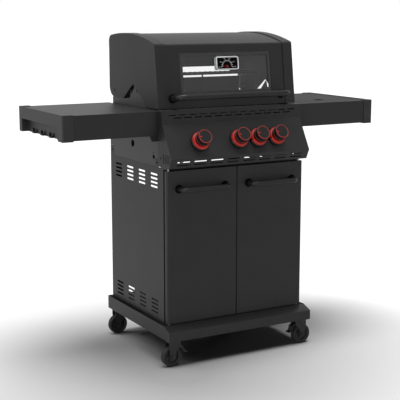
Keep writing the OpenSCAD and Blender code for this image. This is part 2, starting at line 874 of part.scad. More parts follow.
module panel_end_caps() {
    color(iron) both_sides() along_x(panel_side + seat, panel_side + panel_cap_t) difference() {
        polygon([
            [panel_back, panel_top], [fold_y, panel_top], [fold_y, fold_z], [toe_y, toe_z],
            [lip_y, lip_z], [carcass_front - 8, lip_z - 6],
            [carcass_front - 2, cabinet_top + free], [panel_back - 4.5, lip_z + 1],
            [panel_back, lip_z + 14]]);
        for (i = [0:3]) translate([carcass_front - 6.5 - i * 14.3, lip_z + 32])
            rotate(90) slot(34, 5);
    }
}

module knob_bezels() {
    color(red) for (x = knob_xs()) at_knob(x) rotate_extrude() polygon(concat(
        [[bezel_r - 13, seat], [bezel_r, seat]],
        arc([bezel_r - 8, bezel_h - 9], 8, 0, 55, 5),
        [[bezel_r - 8, bezel_h], [bezel_r - 10, bezel_h], [bezel_r - 13, bezel_h - 8]]));
}

knob_skirt = bezel_h + knob_push + 1.5;
knob_bore = 34;

module knob(i) {
    color(iron) at_knob(knob_xs()[i - 1]) difference() {
        rotate_extrude() polygon([
            [0, knob_push + 5], [bezel_r - 16, knob_push + 5], [bezel_r - 16, knob_skirt],
            [knob_r + 1.5, knob_skirt], [knob_r + 1.5, knob_skirt + 6],
            [knob_r - 0.5, knob_skirt + 7], [knob_r - 0.5, knob_reach - 3],
            [knob_r, knob_reach - 2.5], [knob_r, knob_reach], [knob_r - 3, knob_reach],
            [knob_r - 3.6, knob_reach - 1.2], [0, knob_reach - 1.2]]);
        translate([0, 0, 0]) cylinder(h = knob_bore, r = stem_r + run);
    }
}

module valve_stem(i) {
    color(brass) at_knob(knob_xs()[i - 1])
        translate([0, 0, -22]) cylinder(h = 22 + knob_bore - 0.3, r = stem_r);
}

valve_half = 11;
valve_front = -6;
valve_back = -42;
manifold_r = 8;
side_knob_x = knob_pitch;
pipe_r = 4;
elbow_t = 1.4;

// A point on a knob's axis, s along it from the panel
function on_axis(x, s) = [x, knob_at.y, knob_at.z] + s * panel_n;

// Valve bodies; those of the main burners carry a riser with a jet
module gas_valves() {
    color(brass) for (x = knob_xs()) difference() {
        tail = on_axis(x, valve_back + 8);
        elbow = [x, box_front - 20, burner_z];
        union() {
            at_knob(x) translate([0, 0, valve_back])
                cylinder(h = valve_front - valve_back, r = valve_half);
            if (x != side_knob_x) {
                rod(tail, elbow, pipe_r);
                translate(elbow) sphere(pipe_r + elbow_t, $fn = 24);
                rod(elbow, elbow + [0, 14, 0], pipe_r);
            }
        }
        at_knob(x) translate([0, 0, -22 - knob_push - 1]) cylinder(h = 60, r = stem_r + run);
    }
}

manifold = on_axis(0, valve_back - manifold_r - seat);
inlet_r = 6.6;
inlet_length = 14;
inlet_hex = 20;
inlet_at = [-panel_side + 85, box_front - 15, cabinet_top - 50];
well_pipe_drop = 18;

// Manifold with a hose tail that points back into the cabinet, and the pipe to the side
// burner
module gas_pipes() {
    start = on_axis(side_knob_x, -30) + [valve_half + seat, 0, 0];
    down_x = start.x + 20;
    across_x = box_half - 18;
    up_x = shelf_in + 44;
    low_z = well_floor - well_pipe_drop;
    route = [
        start, [down_x, start.y, start.z], [down_x, start.y, keyhole_z],
        [across_x, start.y, keyhole_z], [across_x, keyhole_y, keyhole_z],
        [up_x, keyhole_y, keyhole_z], [up_x, keyhole_y, low_z],
        [cover_x, cover_mid, low_z], [cover_x, cover_mid, well_floor - 10]];
    inlet_top = [inlet_at.x, inlet_at.y, manifold.z];
    color(steel) {
        translate([-panel_side + 24, manifold.y, manifold.z]) rotate([0, 90, 0])
            cylinder(h = 2 * panel_side - 90, r = manifold_r);
        rod([inlet_at.x, manifold.y, manifold.z], inlet_top, inlet_r, 48);
        rod(inlet_top, inlet_at, inlet_r, 48);
        for (p = [inlet_top, inlet_at]) translate(p) sphere(inlet_r + elbow_t, $fn = 48);
        translate(inlet_at) rotate([-90, 0, 0]) {
            cylinder(h = inlet_hex, r = inlet_r + 3, $fn = 6);
            cylinder(h = inlet_hex + inlet_length, r = inlet_r);
        }
    }
    color(brass) for (i = [0:len(route) - 2]) {
        rod(route[i], route[i + 1], pipe_r);
        if (i < len(route) - 2) translate(route[i + 1]) sphere(pipe_r + elbow_t, $fn = 24);
    }
}

// ---------- shelves ----------

shelf_in = max(half_w, lid_side, panel_side + panel_cap_t) + free;
shelf_out = shelf_span / 2;
cap_t = 4;
shelf_end = shelf_out - cap_t;
shelf_low = worktop - shelf_h;

cap_y0 = shelf_y0 - cap_proud;
cap_y1 = shelf_y1 + cap_proud;
hood_d = 24;

// Right-hand shelf: a channel, closed by the bracket inboard and the cap outboard. Its
// outer corners are notched for the cap's hoods.
module shelf_channel() {
    difference() {
        along_x(shelf_in, shelf_end) folded([
            [shelf_y1, shelf_low], [shelf_y1, worktop], [shelf_y0, worktop],
            [shelf_y0, shelf_low]], sheet_t);
        for (y = [[shelf_y0 - past, cap_y0 + hood_d + seat],
            [cap_y1 - hood_d - seat, shelf_y1 + past]])
            block([shelf_out - cap_w - seat, y[0], worktop - sheet_t],
                [shelf_end + past, y[1], worktop + past]);
    }
}

module shelf_left() {
    color(charcoal) mirror([1, 0, 0]) shelf_channel();
}

cover_y0 = shelf_y0 + cover_front;
cover_y1 = cover_y0 + cover_d;
cover_mid = (cover_y0 + cover_y1) / 2;
well_gap = 2.5;
well_x0 = cover_x - cover_w / 2 - well_gap;
well_x1 = cover_x + cover_w / 2 + well_gap;
well_y0 = cover_y0 - well_gap;
well_y1 = cover_y1 + well_gap;
well_top = worktop - sheet_t - seat;
well_depth = 42;
well_floor = well_top - well_depth;
cover_pivot = [cover_y1 - 5, worktop - 5];
cover_pin_r = 2.5;
cover_skirt = 9;
finger_r = 19;
finger_inset = 34;

module shelf_right() {
    color(charcoal) difference() {
        shelf_channel();
        block([well_x0, well_y0, well_top], [well_x1, well_y1, worktop + past]);
    }
}

hooks = 4;
hook_pitch = 81;
hook_first = 31;
hook_w = 56;
hook_h = 17;
cap_low = shelf_low - 3;
cap_top = worktop + cap_proud;
recess_y0 = shelf_y0 + 42;
recess_y1 = shelf_y1 - 30;
recess_top = worktop - 41;

pocket_d = 12;

// Moulded end cap with corner hoods and a recess that is open below. Pockets in the
// recess's back wall, each with a drain slit, carry the tool hooks.
module shelf_end_caps() {
    t = 3;
    ya = cap_y0;
    yb = cap_y1;
    in_x = shelf_out - cap_recess;
    hood_z = worktop - sheet_t + seat;
    color(iron) both_sides() {
        difference() {
            union() {
                block([shelf_end + seat, ya, cap_low], [shelf_out, yb, cap_top]);
                block([shelf_out - cap_w, ya, cap_low], [shelf_out, shelf_y0 - seat, cap_top]);
                block([shelf_out - cap_w, shelf_y1 + seat, cap_low], [shelf_out, yb, cap_top]);
                block([shelf_out - cap_w, ya, hood_z], [shelf_out, ya + hood_d, cap_top]);
                block([shelf_out - cap_w, yb - hood_d, hood_z], [shelf_out, yb, cap_top]);
                block([shelf_out - cap_w, ya, cap_low],
                    [shelf_out, ya + hood_d, shelf_low - seat]);
                block([shelf_out - cap_w, yb - hood_d, cap_low],
                    [shelf_out, yb, shelf_low - seat]);
                // Walls around the recess
                block([in_x - t, recess_y0 - t, cap_low],
                    [shelf_out, recess_y1 + t, recess_top + t]);
                for (i = [0:hooks - 1]) let (y = recess_y0 + hook_first + i * hook_pitch)
                    block([in_x - t - pocket_d, y - hook_w / 2 - t, cap_low],
                        [in_x, y + hook_w / 2 + t, cap_low + hook_h + t]);
            }
            block([in_x, recess_y0, cap_low - past], [shelf_out + past, recess_y1, recess_top]);
            for (i = [0:hooks - 1]) let (y = recess_y0 + hook_first + i * hook_pitch) {
                block([in_x - pocket_d, y - hook_w / 2, cap_low + t],
                    [in_x + past, y + hook_w / 2, cap_low + hook_h]);
                block([in_x - t - pocket_d - past, y - 21, cap_low + t + 2],
                    [in_x - pocket_d + past, y - 12, cap_low + hook_h]);
            }
        }
        // Hooks: a stem that hangs in each window, and a foot that points outwards
        for (i = [0:hooks - 1]) let (y = recess_y0 + hook_first + i * hook_pitch) {
            block([in_x - t, y - 5, cap_low], [in_x, y + 5, cap_low + hook_h + t]);
            block([in_x - t, y - 12, cap_low], [in_x + 9, y + 12, cap_low + 2 + t]);
        }
    }
}

bracket_w = 34;
bracket_low = shelf_low - 20;
web_low = shelf_low + 4;

// Bracket between a shoulder plate and its shelf
module shelf_brackets() {
    ya = shelf_y0 + sheet_t + seat;
    yb = shelf_y1 - sheet_t - seat;
    web_y0 = max(panel_back, shoulder_front) + free;
    web_x = half_w + seat;
    end_x = shelf_in + bracket_w;
    color(charcoal) both_sides() {
        block([web_x, web_y0, web_low], [web_x + 2, bracket_back, well_top]);
        block([web_x, web_y0, web_low], [end_x, yb, web_low + 2]);
        block([shelf_in, ya, web_low], [end_x, web_y0 + 1, web_low + 2]);
        // The front gusset reaches below the shelf, the rear one does not
        translate([0, ya + 2, 0]) rotate([90, 0, 0]) linear_extrude(2) polygon([
            [shelf_in, bracket_low], [end_x - 8, bracket_low], [end_x, shelf_low],
            [end_x, shelf_low + 30], [shelf_in, shelf_low + 30]]);
        block([shelf_in, yb - 2, web_low], [end_x, yb, shelf_low + 30]);
        for (y = [web_y0, bracket_back - 2])
            block([web_x, y, web_low], [end_x, y + 2, shelf_low + 30]);
    }
}

module side_burner_bowl() {
    t = sheet_t;
    color(steel) difference() {
        block([well_x0 - t, well_y0 - t, well_floor], [well_x1 + t, well_y1 + t, well_top]);
        block([well_x0, well_y0, well_floor + t], [well_x1, well_y1, well_top + past]);
        translate([cover_x, cover_mid, well_floor - past])
            cylinder(h = t + 2 * past, r = burner_neck_r + seat);
        translate([well_x0 - t - past, cover_pivot.x, cover_pivot.y]) rotate([0, 90, 0])
            cylinder(h = cover_w + 2 * well_gap + 2 * t + 2 * past, r = cover_pin_r + run);
    }
}

burner_neck_r = 11;

// Burner head on its neck, and a cast trivet that stands in the bowl
module side_burner() {
    floor_z = well_floor + sheet_t;
    trivet_top = worktop - cover_skirt - 2;
    translate([cover_x, cover_mid, 0]) {
        color(brass) {
            translate([0, 0, well_floor - 9.8]) cylinder(h = 16 + sheet_t, r = burner_neck_r);
            translate([0, 0, floor_z + seat]) cylinder(h = 16, r = 32);
            translate([0, 0, floor_z + seat + 14]) cylinder(h = 6, r = 27);
        }
        color(iron) {
            translate([0, 0, trivet_top - 10]) rotate_extrude() translate([88, 0]) square([8, 7]);
            for (a = [45:90:315]) rotate(a) {
                block([34, -4, trivet_top - 8], [94, 4, trivet_top]);
                block([88, -4, floor_z + seat], [96, 4, trivet_top - 6]);
            }
        }
    }
}

// Flush cover with a skirt, a finger hole and stub pins at its back corners
module side_burner_cover() {
    t = sheet_t;
    color(charcoal) {
        difference() {
            translate([cover_x - cover_w / 2, cover_y0, worktop - cover_skirt])
                cube([cover_w, cover_d, cover_skirt]);
            translate([cover_x - cover_w / 2 + t, cover_y0 + t, worktop - cover_skirt - past])
                cube([cover_w - 2 * t, cover_d - 2 * t, cover_skirt + past - t]);
            translate([cover_x, cover_y0 + finger_inset, worktop - t - past])
                cylinder(h = t + 2 * past, r = finger_r);
        }
        for (s = [-1, 1])
            translate([cover_x + s * (cover_w / 2 + well_gap / 2), cover_pivot.x, cover_pivot.y])
                rotate([0, 90, 0])
                cylinder(h = well_gap + 4 * t, r = cover_pin_r, center = true);
    }
}

module screw_head(r) {
    cylinder(h = 1, r = r);
    translate([0, 0, 0.5]) cylinder(h = 1.7, r1 = r, r2 = r * 0.55);
}

// Pan-head screws in the panel's end caps and in the side panels' tabs
module panel_screws() {
    color(steel) both_sides() {
        for (p = [[panel_back - 19.5, lip_z + 31], [panel_back - 17.5, fold_z + 8]])
            translate([panel_side + panel_cap_t + seat, p.x, p.y]) rotate([0, 90, 0]) screw_head(4);
        for (p = [[shoulder_front + front_tab.x / 2, cabinet_top + front_tab.y / 2],
            [shoulder_back - rear_tab.x / 2, cabinet_top + rear_tab.y / 2]])
            translate([half_w + seat, p.x, p.y]) rotate([0, 90, 0]) screw_head(4);
    }
}

// ---------- lid ----------

// Lid outline in Y-Z, offset inwards by inset. The front leans back, the top is a crown
// arc, and smaller arcs blend the corners.
lid_r_front = 12;
lid_r_back = 24;
lid_rim_t = 2.6;
skin_in = lid_rim_t + seat;
lid_back_y = cabinet_back + lid_back;
lid_foot = [y0 + lid_front, lid_bottom];
lid_dir = [sin(lid_lean), cos(lid_lean)];
lid_in = [cos(lid_lean), -sin(lid_lean)];
crown_shift = 61.25;
crown_c = [(lid_foot.x + lid_back_y) / 2 + crown_shift, lid_top - crown_r];
rear_vent = 74;
rear_rim_drop = 22;

// Centre of the arc of radius r that touches the front face and the crown
function front_centre(r) =
    let (p = lid_foot + r * lid_in - crown_c, b = p * lid_dir, c = p * p - pow(crown_r - r, 2))
    crown_c + p + (-b + sqrt(b * b - c)) * lid_dir;
// Centre of the arc of radius r that touches the back and the crown
function back_centre(r) =
    let (y = lid_back_y - r)
    [y, crown_c.y + sqrt(pow(crown_r - r, 2) - pow(y - crown_c.x, 2))];
function from_crown(p) = atan2(p.y - crown_c.y, p.x - crown_c.x);
function lid_curve(inset) =
    let (f = front_centre(lid_r_front), b = back_centre(lid_r_back))
    concat(
        arc(f, lid_r_front - inset, 180 - lid_lean, from_crown(f), 6),
        arc(crown_c, crown_r - inset, from_crown(f), from_crown(b), 20),
        arc(b, lid_r_back - inset, from_crown(b), 0, 8));
function lid_path(inset, low) =
    concat([lid_foot + inset * lid_in], lid_curve(inset), [[lid_back_y - inset, low]]);

// Puts a piece on the lid's front face: +Y runs up the face and +Z points out of it
module on_lid_front(up, out) {
    translate([0, lid_foot.x, lid_foot.y]) rotate([90 - lid_lean, 0, 0])
        translate([0, up, out]) children();
}

window_up = window_sill + window_h / 2;

module lid_shell() {
    half = lid_side - lid_end_w + 12;
    low = hinge_z + rear_vent;
    color(charcoal) difference() {
        along_x(-half, half) polygon(concat(
            lid_path(skin_in, low), reversed(lid_path(skin_in + sheet_t, low))));
        on_lid_front(window_up, -skin_in - sheet_t - past) linear_extrude(sheet_t + 2 * past)
            rounded_rect([window_w + 2 * window_border, window_h + 2 * window_border], 6);
    }
}

// Cast end: a side plate with a notch over the firebox's peak, and a rim along its edge
module lid_ends() {
    tail = hinge_z + 15;
    tail_r = 42;
    notch_z = worktop + 25.2;
    color(charcoal) both_sides() {
        along_x(lid_side - lid_end_t, lid_side) difference() {
            polygon(concat(
                lid_path(0, tail), arc([lid_back_y - tail_r, tail], tail_r, 0, -90, 10),
                [[peak_y + 101, notch_z], [peak_y + 28, hinge_z + 25]],
                arc([peak_y + 19, hinge_z + 20], 9, 30, 160, 6),
                [[peak_y - 38, notch_z + 19], [peak_y - 66, notch_z + 2],
                [peak_y - 80, lid_bottom]]));
            translate([hinge_at, hinge_z]) circle(hinge_pin_r + run);
        }
        along_x(lid_side - lid_end_w, lid_side - lid_end_t / 2) polygon(concat(
            lid_path(0, hinge_z + rear_vent - rear_rim_drop),
            reversed(lid_path(lid_rim_t, hinge_z + rear_vent - rear_rim_drop))));
    }
}

frame_out = -skin_in - sheet_t - seat;
glass_t = 4;
stud_r = 4;
gauge_w = 94;
gauge_h = 48;
gauge_up = window_sill + window_h - gauge_h / 2 - 4;

// Pressed frame behind the window's opening: it holds the glass
module glass_frame() {
    lap = window_border + 10;
    color(iron) on_lid_front(window_up, frame_out - sheet_t) linear_extrude(sheet_t)
        difference() {
            rounded_rect([window_w + 2 * lap, window_h + 2 * lap], 10);
            rounded_rect([window_w, window_h], 4);
        }
}

glass_out = frame_out - sheet_t - seat;

module lid_glass() {
    color([0.2, 0.22, 0.24, 0.4]) difference() {
        on_lid_front(window_up, glass_out - glass_t) linear_extrude(glass_t)
            rounded_rect([window_w + 2 * window_border, window_h + 2 * window_border], 6);
        on_lid_front(gauge_up, glass_out - glass_t - past)
            cylinder(h = glass_t + 2 * past, r = stud_r + seat);
    }
}

module lid_handle() {
    color(iron) on_lid_front(lid_handle_up, -skin_in + seat) rotate([-90, 0, 0])
        bow_handle(lid_handle_span, lid_handle_reach + skin_in - seat, lid_handle_r);
}

gauge_back = glass_out + seat;
gauge_front = 9;
dial_out = gauge_front - 5;
needle_pivot = gauge_up - gauge_h / 2 + 13;

// Gauge case with a raised edge around the dial, and the probe that passes the glass
module thermometer() {
    color(steel) {
        difference() {
            on_lid_front(gauge_up, gauge_back) linear_extrude(gauge_front - gauge_back)
                rounded_rect([gauge_w, gauge_h], 8);
            on_lid_front(gauge_up, dial_out) linear_extrude(gauge_front - dial_out + past)
                rounded_rect([gauge_w - 10, gauge_h - 10], 4);
        }
        on_lid_front(gauge_up, gauge_back - 60) cylinder(h = 62, r = stud_r);
        on_lid_front(needle_pivot, dial_out - 1) cylinder(h = 3.5, r = 1.2);
    }
}

// Needle at rest: it points to the left end of the scale
module thermometer_needle() {
    color(red) on_lid_front(needle_pivot, dial_out + 1) difference() {
        union() {
            cylinder(h = 0.8, r = 4);
            translate([-20, -0.6, 0]) cube([18, 1.2, 0.8]);
        }
        translate([0, 0, -past]) cylinder(h = 0.8 + 2 * past, r = 1.2 + run);
    }
}

// ---------- what is drawn ----------

base_tray();
caster_plates();
side_panels();
cabinet_frame();
door_hinge_pins();
shoulder_plates();
firebox();
firebox_sides();
lid_hinge_pins();
control_panel();
panel_end_caps();
knob_bezels();
gas_pipes();
gas_valves();
main_burners();
flame_tamers();
cooking_grates();
warming_rack();
tray_runners();
shelf_left();
shelf_right();
shelf_end_caps();
shelf_brackets();
side_burner_bowl();
side_burner();
igniter_electrodes();
panel_screws();
lid_shell();
lid_ends();
lid_glass();
glass_frame();
lid_handle();
thermometer();
thermometer_needle();
door_left();
door_right();
door_handle_left();
door_handle_right();
knob(1);  // knob_1
knob(2);  // knob_2
knob(3);  // knob_3
knob(4);  // knob_4
valve_stem(1);  // valve_stem_1
valve_stem(2);  // valve_stem_2
valve_stem(3);  // valve_stem_3
valve_stem(4);  // valve_stem_4
drip_tray();
side_burner_cover();
caster_fork(1);  // caster_fork_1
caster_fork(2);  // caster_fork_2
caster_fork(3);  // caster_fork_3
caster_fork(4);  // caster_fork_4
caster_wheel(1);  // caster_wheel_1
caster_wheel(2);  // caster_wheel_2
caster_wheel(3);  // caster_wheel_3
caster_wheel(4);  // caster_wheel_4
brake_pedal(1);  // brake_pedal_1
brake_pedal(2);  // brake_pedal_2
brake_pedal(3);  // brake_pedal_3
brake_pedal(4);  // brake_pedal_4
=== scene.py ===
"""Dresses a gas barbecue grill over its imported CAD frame.

Lengths are in metres in the grill's own frame: +X to the right for someone who faces the
doors, +Y towards the back and +Z up, with the floor at zero.
"""
import json
import logging
import math
from collections.abc import Callable, Sequence
from dataclasses import dataclass, field
from enum import Enum

import bpy
from mathutils import Matrix, Vector


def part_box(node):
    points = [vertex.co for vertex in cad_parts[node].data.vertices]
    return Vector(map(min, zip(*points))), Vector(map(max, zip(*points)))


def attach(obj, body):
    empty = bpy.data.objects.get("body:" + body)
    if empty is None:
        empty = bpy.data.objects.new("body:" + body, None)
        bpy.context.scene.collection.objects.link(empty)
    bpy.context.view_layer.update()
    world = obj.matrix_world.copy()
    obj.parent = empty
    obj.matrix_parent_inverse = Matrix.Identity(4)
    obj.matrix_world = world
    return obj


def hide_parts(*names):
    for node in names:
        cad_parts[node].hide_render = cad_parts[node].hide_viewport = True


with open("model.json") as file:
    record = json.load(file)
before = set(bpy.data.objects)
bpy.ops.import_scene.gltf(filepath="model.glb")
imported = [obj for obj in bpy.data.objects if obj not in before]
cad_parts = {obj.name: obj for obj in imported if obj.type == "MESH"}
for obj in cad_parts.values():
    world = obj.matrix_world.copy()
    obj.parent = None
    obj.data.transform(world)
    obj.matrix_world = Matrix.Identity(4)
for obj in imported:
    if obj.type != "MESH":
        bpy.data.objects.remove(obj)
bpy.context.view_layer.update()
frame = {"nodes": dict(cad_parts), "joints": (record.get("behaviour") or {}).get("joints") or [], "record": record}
LOG = logging.getLogger("grill")
MM = 0.001
# Points closer than this are one point.
WELD = 0.02 * MM
# Faces that meet at more than this angle, in radians, make a square corner.
SQUARE = 1.2


# ---------------------------------------------------------------- materials

def linear(hex_code: str) -> tuple[float, float, float, float]:
    """Turns an sRGB hex colour into the linear colour that shaders take.

    Args:
        hex_code: six hexadecimal digits after a hash sign.

    Returns:
        Red, green, blue and an alpha of one.
    """
    parts = [int(hex_code[i:i + 2], 16) / 255 for i in (1, 3, 5)]
    red, green, blue = (
        part / 12.92 if part <= 0.04045 else ((part + 0.055) / 1.055) ** 2.4 for part in parts)
    return red, green, blue, 1.0


def add_node(tree: bpy.types.NodeTree, kind: str, settings: dict[str, object] | None = None,
             links: dict[str, bpy.types.NodeSocket] | None = None) -> bpy.types.Node:
    """Adds a shader node, gives it its settings and links its inputs.

    Args:
        tree: the material's node tree.
        kind: the node's class name.
        settings: values by the name of an input or of a property.
        links: output sockets of other nodes, by the name of the input they feed.

    Returns:
        The new node.
    """
    node = tree.nodes.new(kind)
    for name, value in (settings or {}).items():
        if name in node.inputs:
            node.inputs[name].default_value = value
        else:
            setattr(node, name, value)
    for name, socket in (links or {}).items():
        tree.links.new(socket, node.inputs[name])
    return node


@dataclass(frozen=True)
class Finish:
    """An opaque finish, with its colour's drift, its gloss and its grain.

    The pattern sizes are real sizes in millimetres, and `lay` stretches the grain along
    the axes, as brushing or drawing does.
    """

    name: str
    colour: str
    drift: str
    roughness: float
    gloss_drift: float = 0.06
    metallic: float = 0.0
    specular: float = 0.5
    patch_mm: float = 90.0
    grain_mm: float = 2.5
    grain_height_mm: float = 0.05
    lay: tuple[float, float, float] = (1.0, 1.0, 1.0)

    def material(self) -> bpy.types.Material:
        """Makes the material of this finish at its first use.

        Returns:
            The material, which later uses share.
        """
        known = bpy.data.materials.get(self.name)
        if known is not None:
            return known
        material = bpy.data.materials.new(self.name)
        material.use_nodes = True
        tree = material.node_tree
        tree.nodes.clear()
        place = add_node(tree, "ShaderNodeTexCoord")
        laid = add_node(tree, "ShaderNodeMapping", {"Scale": self.lay},
                        {"Vector": place.outputs["Object"]})
        patches = add_node(tree, "ShaderNodeTexNoise",
                           {"Scale": 1 / (self.patch_mm * MM), "Detail": 3.0},
                           {"Vector": place.outputs["Object"]})
        ramp = add_node(tree, "ShaderNodeValToRGB", {}, {"Fac": patches.outputs["Fac"]})
        ramp.color_ramp.elements[0].position = 0.32
        ramp.color_ramp.elements[0].color = linear(self.drift)
        ramp.color_ramp.elements[1].position = 0.62
        ramp.color_ramp.elements[1].color = linear(self.colour)
        grain = add_node(tree, "ShaderNodeTexNoise",
                         {"Scale": 1 / (self.grain_mm * MM), "Detail": 2.0},
                         {"Vector": laid.outputs["Vector"]})
        gloss = add_node(tree, "ShaderNodeMapRange",
                         {"To Min": self.roughness - self.gloss_drift,
                          "To Max": self.roughness + self.gloss_drift},
                         {"Value": grain.outputs["Fac"]})
        relief = add_node(tree, "ShaderNodeBump",
                          {"Strength": 1.0, "Distance": self.grain_height_mm * MM},
                          {"Height": grain.outputs["Fac"]})
        shader = add_node(tree, "ShaderNodeBsdfPrincipled",
                          {"Metallic": self.metallic, "Specular IOR Level": self.specular},
                          {"Base Color": ramp.outputs["Color"],
                           "Roughness": gloss.outputs["Result"],
                           "Normal": relief.outputs["Normal"]})
        add_node(tree, "ShaderNodeOutputMaterial", {}, {"Surface": shader.outputs["BSDF"]})
        return material


@dataclass(frozen=True)
class ClearGlass:
    """Tempered window glass: clear, with a faint grey tint and soft waves."""

    name: str = "tempered_glass"
    tint: str = "#fbfcfb"
    roughness: float = 0.02
    wave_mm: float = 120.0

    def material(self) -> bpy.types.Material:
        """Makes the glass at its first use.

        Returns:
            The material, which later uses share.
        """
        known = bpy.data.materials.get(self.name)
        if known is not None:
            return known
        material = bpy.data.materials.new(self.name)
        material.use_nodes = True
        tree = material.node_tree
        tree.nodes.clear()
        place = add_node(tree, "ShaderNodeTexCoord")
        waves = add_node(tree, "ShaderNodeTexNoise", {"Scale": 1 / (self.wave_mm * MM)},
                         {"Vector": place.outputs["Object"]})
        relief = add_node(tree, "ShaderNodeBump", {"Strength": 0.3, "Distance": 0.05 * MM},
                          {"Height": waves.outputs["Fac"]})
        shader = add_node(tree, "ShaderNodeBsdfPrincipled",
                          {"Base Color": linear(self.tint), "Roughness": self.roughness,
                           "IOR": 1.38, "Transmission Weight": 1.0},
                          {"Normal": relief.outputs["Normal"]})
        add_node(tree, "ShaderNodeOutputMaterial", {}, {"Surface": shader.outputs["BSDF"]})
        return material


# Polyester powder coat on sheet steel: a near-black satin with a fine orange peel. The
# real peel is about 1 mm across and is drawn at 2.2 mm, so that it shows.
POWDER_COAT = Finish("powder_coat_charcoal", "#1e1e1f", "#1b1b1c", 0.46, specular=0.28,
                     grain_mm=2.2, grain_height_mm=0.03)
# The same powder, a shade lighter and glossier, on the shoulder plates and the firebox's
# sides. On the shoulder plates, under the shelves, the lighter tone is painted light, for
# light that reaches them there; on the firebox's sides it is a lighter finish of their own.
SHOULDER_COAT = Finish("shoulder_powder_coat", "#262628", "#232325", 0.42, specular=0.34,
                       gloss_drift=0.03, patch_mm=120, grain_mm=0.8, grain_height_mm=0.012)
# The same coat, darker and matt. On the base tray's floor inside the cabinet this is
# painted shade, for the shade that falls in there; the lid's hinge pins wear it too.
DARK_MATT_COAT = Finish("powder_coat_dark_matt", "#191919", "#151516", 0.8, specular=0.06,
                  grain_mm=2.2, grain_height_mm=0.05)
# A darker, matt paint on the right shelf's top and on the side burner's cover: painted
# shade, which keeps them darker than the powder beside them, for the dimmer light there.
HOB_SHADE_PAINT = Finish("hob_painted_shade", "#19191a", "#171718", 0.58, specular=0.17,
                   grain_mm=2.2, grain_height_mm=0.03)
# Sand-cast aluminium under the same coat: a slightly coarser skin.
CAST_PAINT = Finish("painted_cast_aluminium", "#1e1e1f", "#1a1a1b", 0.5, specular=0.28,
                    grain_mm=3.0, grain_height_mm=0.06)
# Steel tube, drawn and coated: smoother and glossier than the sheet.
TUBE_COAT = Finish("satin_coated_tube", "#1b1b1c", "#18181a", 0.4, specular=0.26,
                   grain_mm=2.2, grain_height_mm=0.015)
# Vitreous enamel, fired on steel: it keeps a soft wet gloss and a few grey flecks.
ENAMEL = Finish("vitreous_enamel", "#2a2a2b", "#202021", 0.3, specular=0.5,
                patch_mm=12, grain_mm=6.0, grain_height_mm=0.03)
# Enamelled grey cast iron: matt and rough from the sand.
CAST_IRON = Finish("enamelled_cast_iron", "#1b1b1b", "#121212", 0.62, specular=0.35,
                   patch_mm=18, grain_mm=2.6, grain_height_mm=0.14)
# Stainless sheet, brushed along the grill's width.
BRUSHED_STEEL = Finish("brushed_stainless_steel", "#b9b9ba", "#a5a5a7", 0.3, metallic=1.0,
                       gloss_drift=0.1, patch_mm=60, grain_mm=1.6, grain_height_mm=0.02,
                       lay=(0.04, 1.0, 1.0))
# Hot-dip galvanised sheet: a bright metal with large, faint crystals.
GALVANISED = Finish("galvanised_steel", "#a9adaf", "#8d9194", 0.38, metallic=1.0,
                    gloss_drift=0.1, patch_mm=14, grain_mm=14, grain_height_mm=0.02)
# Bright zinc plate on screws, pins and caster plates.
ZINC = Finish("zinc_plate", "#b4b6b8", "#9fa2a5", 0.28, metallic=1.0, patch_mm=10,
              grain_mm=1.2, grain_height_mm=0.01)
# Black zinc plate on the screws, pins and bolts that stay in view.
BLACK_ZINC = Finish("black_zinc_plate", "#2c2c2e", "#232325", 0.42, metallic=0.4,
                    specular=0.3, patch_mm=10, grain_mm=1.2, grain_height_mm=0.01)
# Machined brass of the valves: a warm metal with fine turning marks.
BRASS = Finish("machined_brass", "#c9a45c", "#b8924c", 0.3, metallic=1.0, patch_mm=20,
               grain_mm=1.0, grain_height_mm=0.01, lay=(1.0, 0.1, 1.0))
# Red lacquer on the bezels: saturated, with an even satin gloss.
RED_LACQUER = Finish("red_lacquer", "#b3231a", "#a01e15", 0.42, specular=0.3,
                     gloss_drift=0.04, patch_mm=40, grain_mm=2.0, grain_height_mm=0.006)
# The same red, darker and duller on the knobs' thin rings: painted shade, for how dim
# they look edge-on.
SHADED_RED_RING = Finish("red_ring_painted_shade", "#8a2c26", "#7a2520", 0.4, specular=0.35,
                  patch_mm=20, grain_mm=1.4, grain_height_mm=0.006)
# Moulded black nylon: a fine spark-eroded texture.
BLACK_NYLON = Finish("moulded_black_nylon", "#1e1e1f", "#191919", 0.52, specular=0.35,
                     patch_mm=50, grain_mm=1.8, grain_height_mm=0.04)
# Polished phenolic of the knobs: deep black, with a soft gloss.
PHENOLIC = Finish("black_phenolic", "#141415", "#101011", 0.42, specular=0.24,
                  patch_mm=30, grain_mm=1.6, grain_height_mm=0.012)
# White nylon of the door bushes.
WHITE_NYLON = Finish("white_nylon", "#d9d9d6", "#cfcfcb", 0.45, patch_mm=10,
                     grain_mm=1.2, grain_height_mm=0.01)
# Glazed ceramic of the igniter electrodes.
CERAMIC = Finish("glazed_ceramic", "#e4e1d8", "#d8d4c8", 0.2, patch_mm=12, grain_mm=2,
                 grain_height_mm=0.01)
# Hard black rubber of the tyres: dull, with moulding dust.
RUBBER = Finish("hard_rubber", "#191919", "#232322", 0.7, specular=0.3, patch_mm=9,
                grain_mm=1.6, grain_height_mm=0.06)
# Die-cast surround of the gauge: a light satin metal.
SATIN_METAL = Finish("satin_die_cast", "#dcdddf", "#cdced1", 0.5, metallic=0.7,
                     patch_mm=20, grain_mm=1.2, grain_height_mm=0.01)
# Black dial card under the gauge's marks.
DIAL_BLACK = Finish("dial_card", "#050505", "#030303", 0.8, specular=0.05, patch_mm=12,
                    grain_mm=1.0, grain_height_mm=0.004)
# Black silicone rosettes, which keep the handles off hot sheet, made near-black as
# painted shade, for the shadow that the posts and bars cast around their feet.
ROSETTE_SHADE = Finish("rosette_painted_shade", "#050505", "#030303", 0.8, specular=0.05, patch_mm=12,
                  grain_mm=1.0, grain_height_mm=0.004)
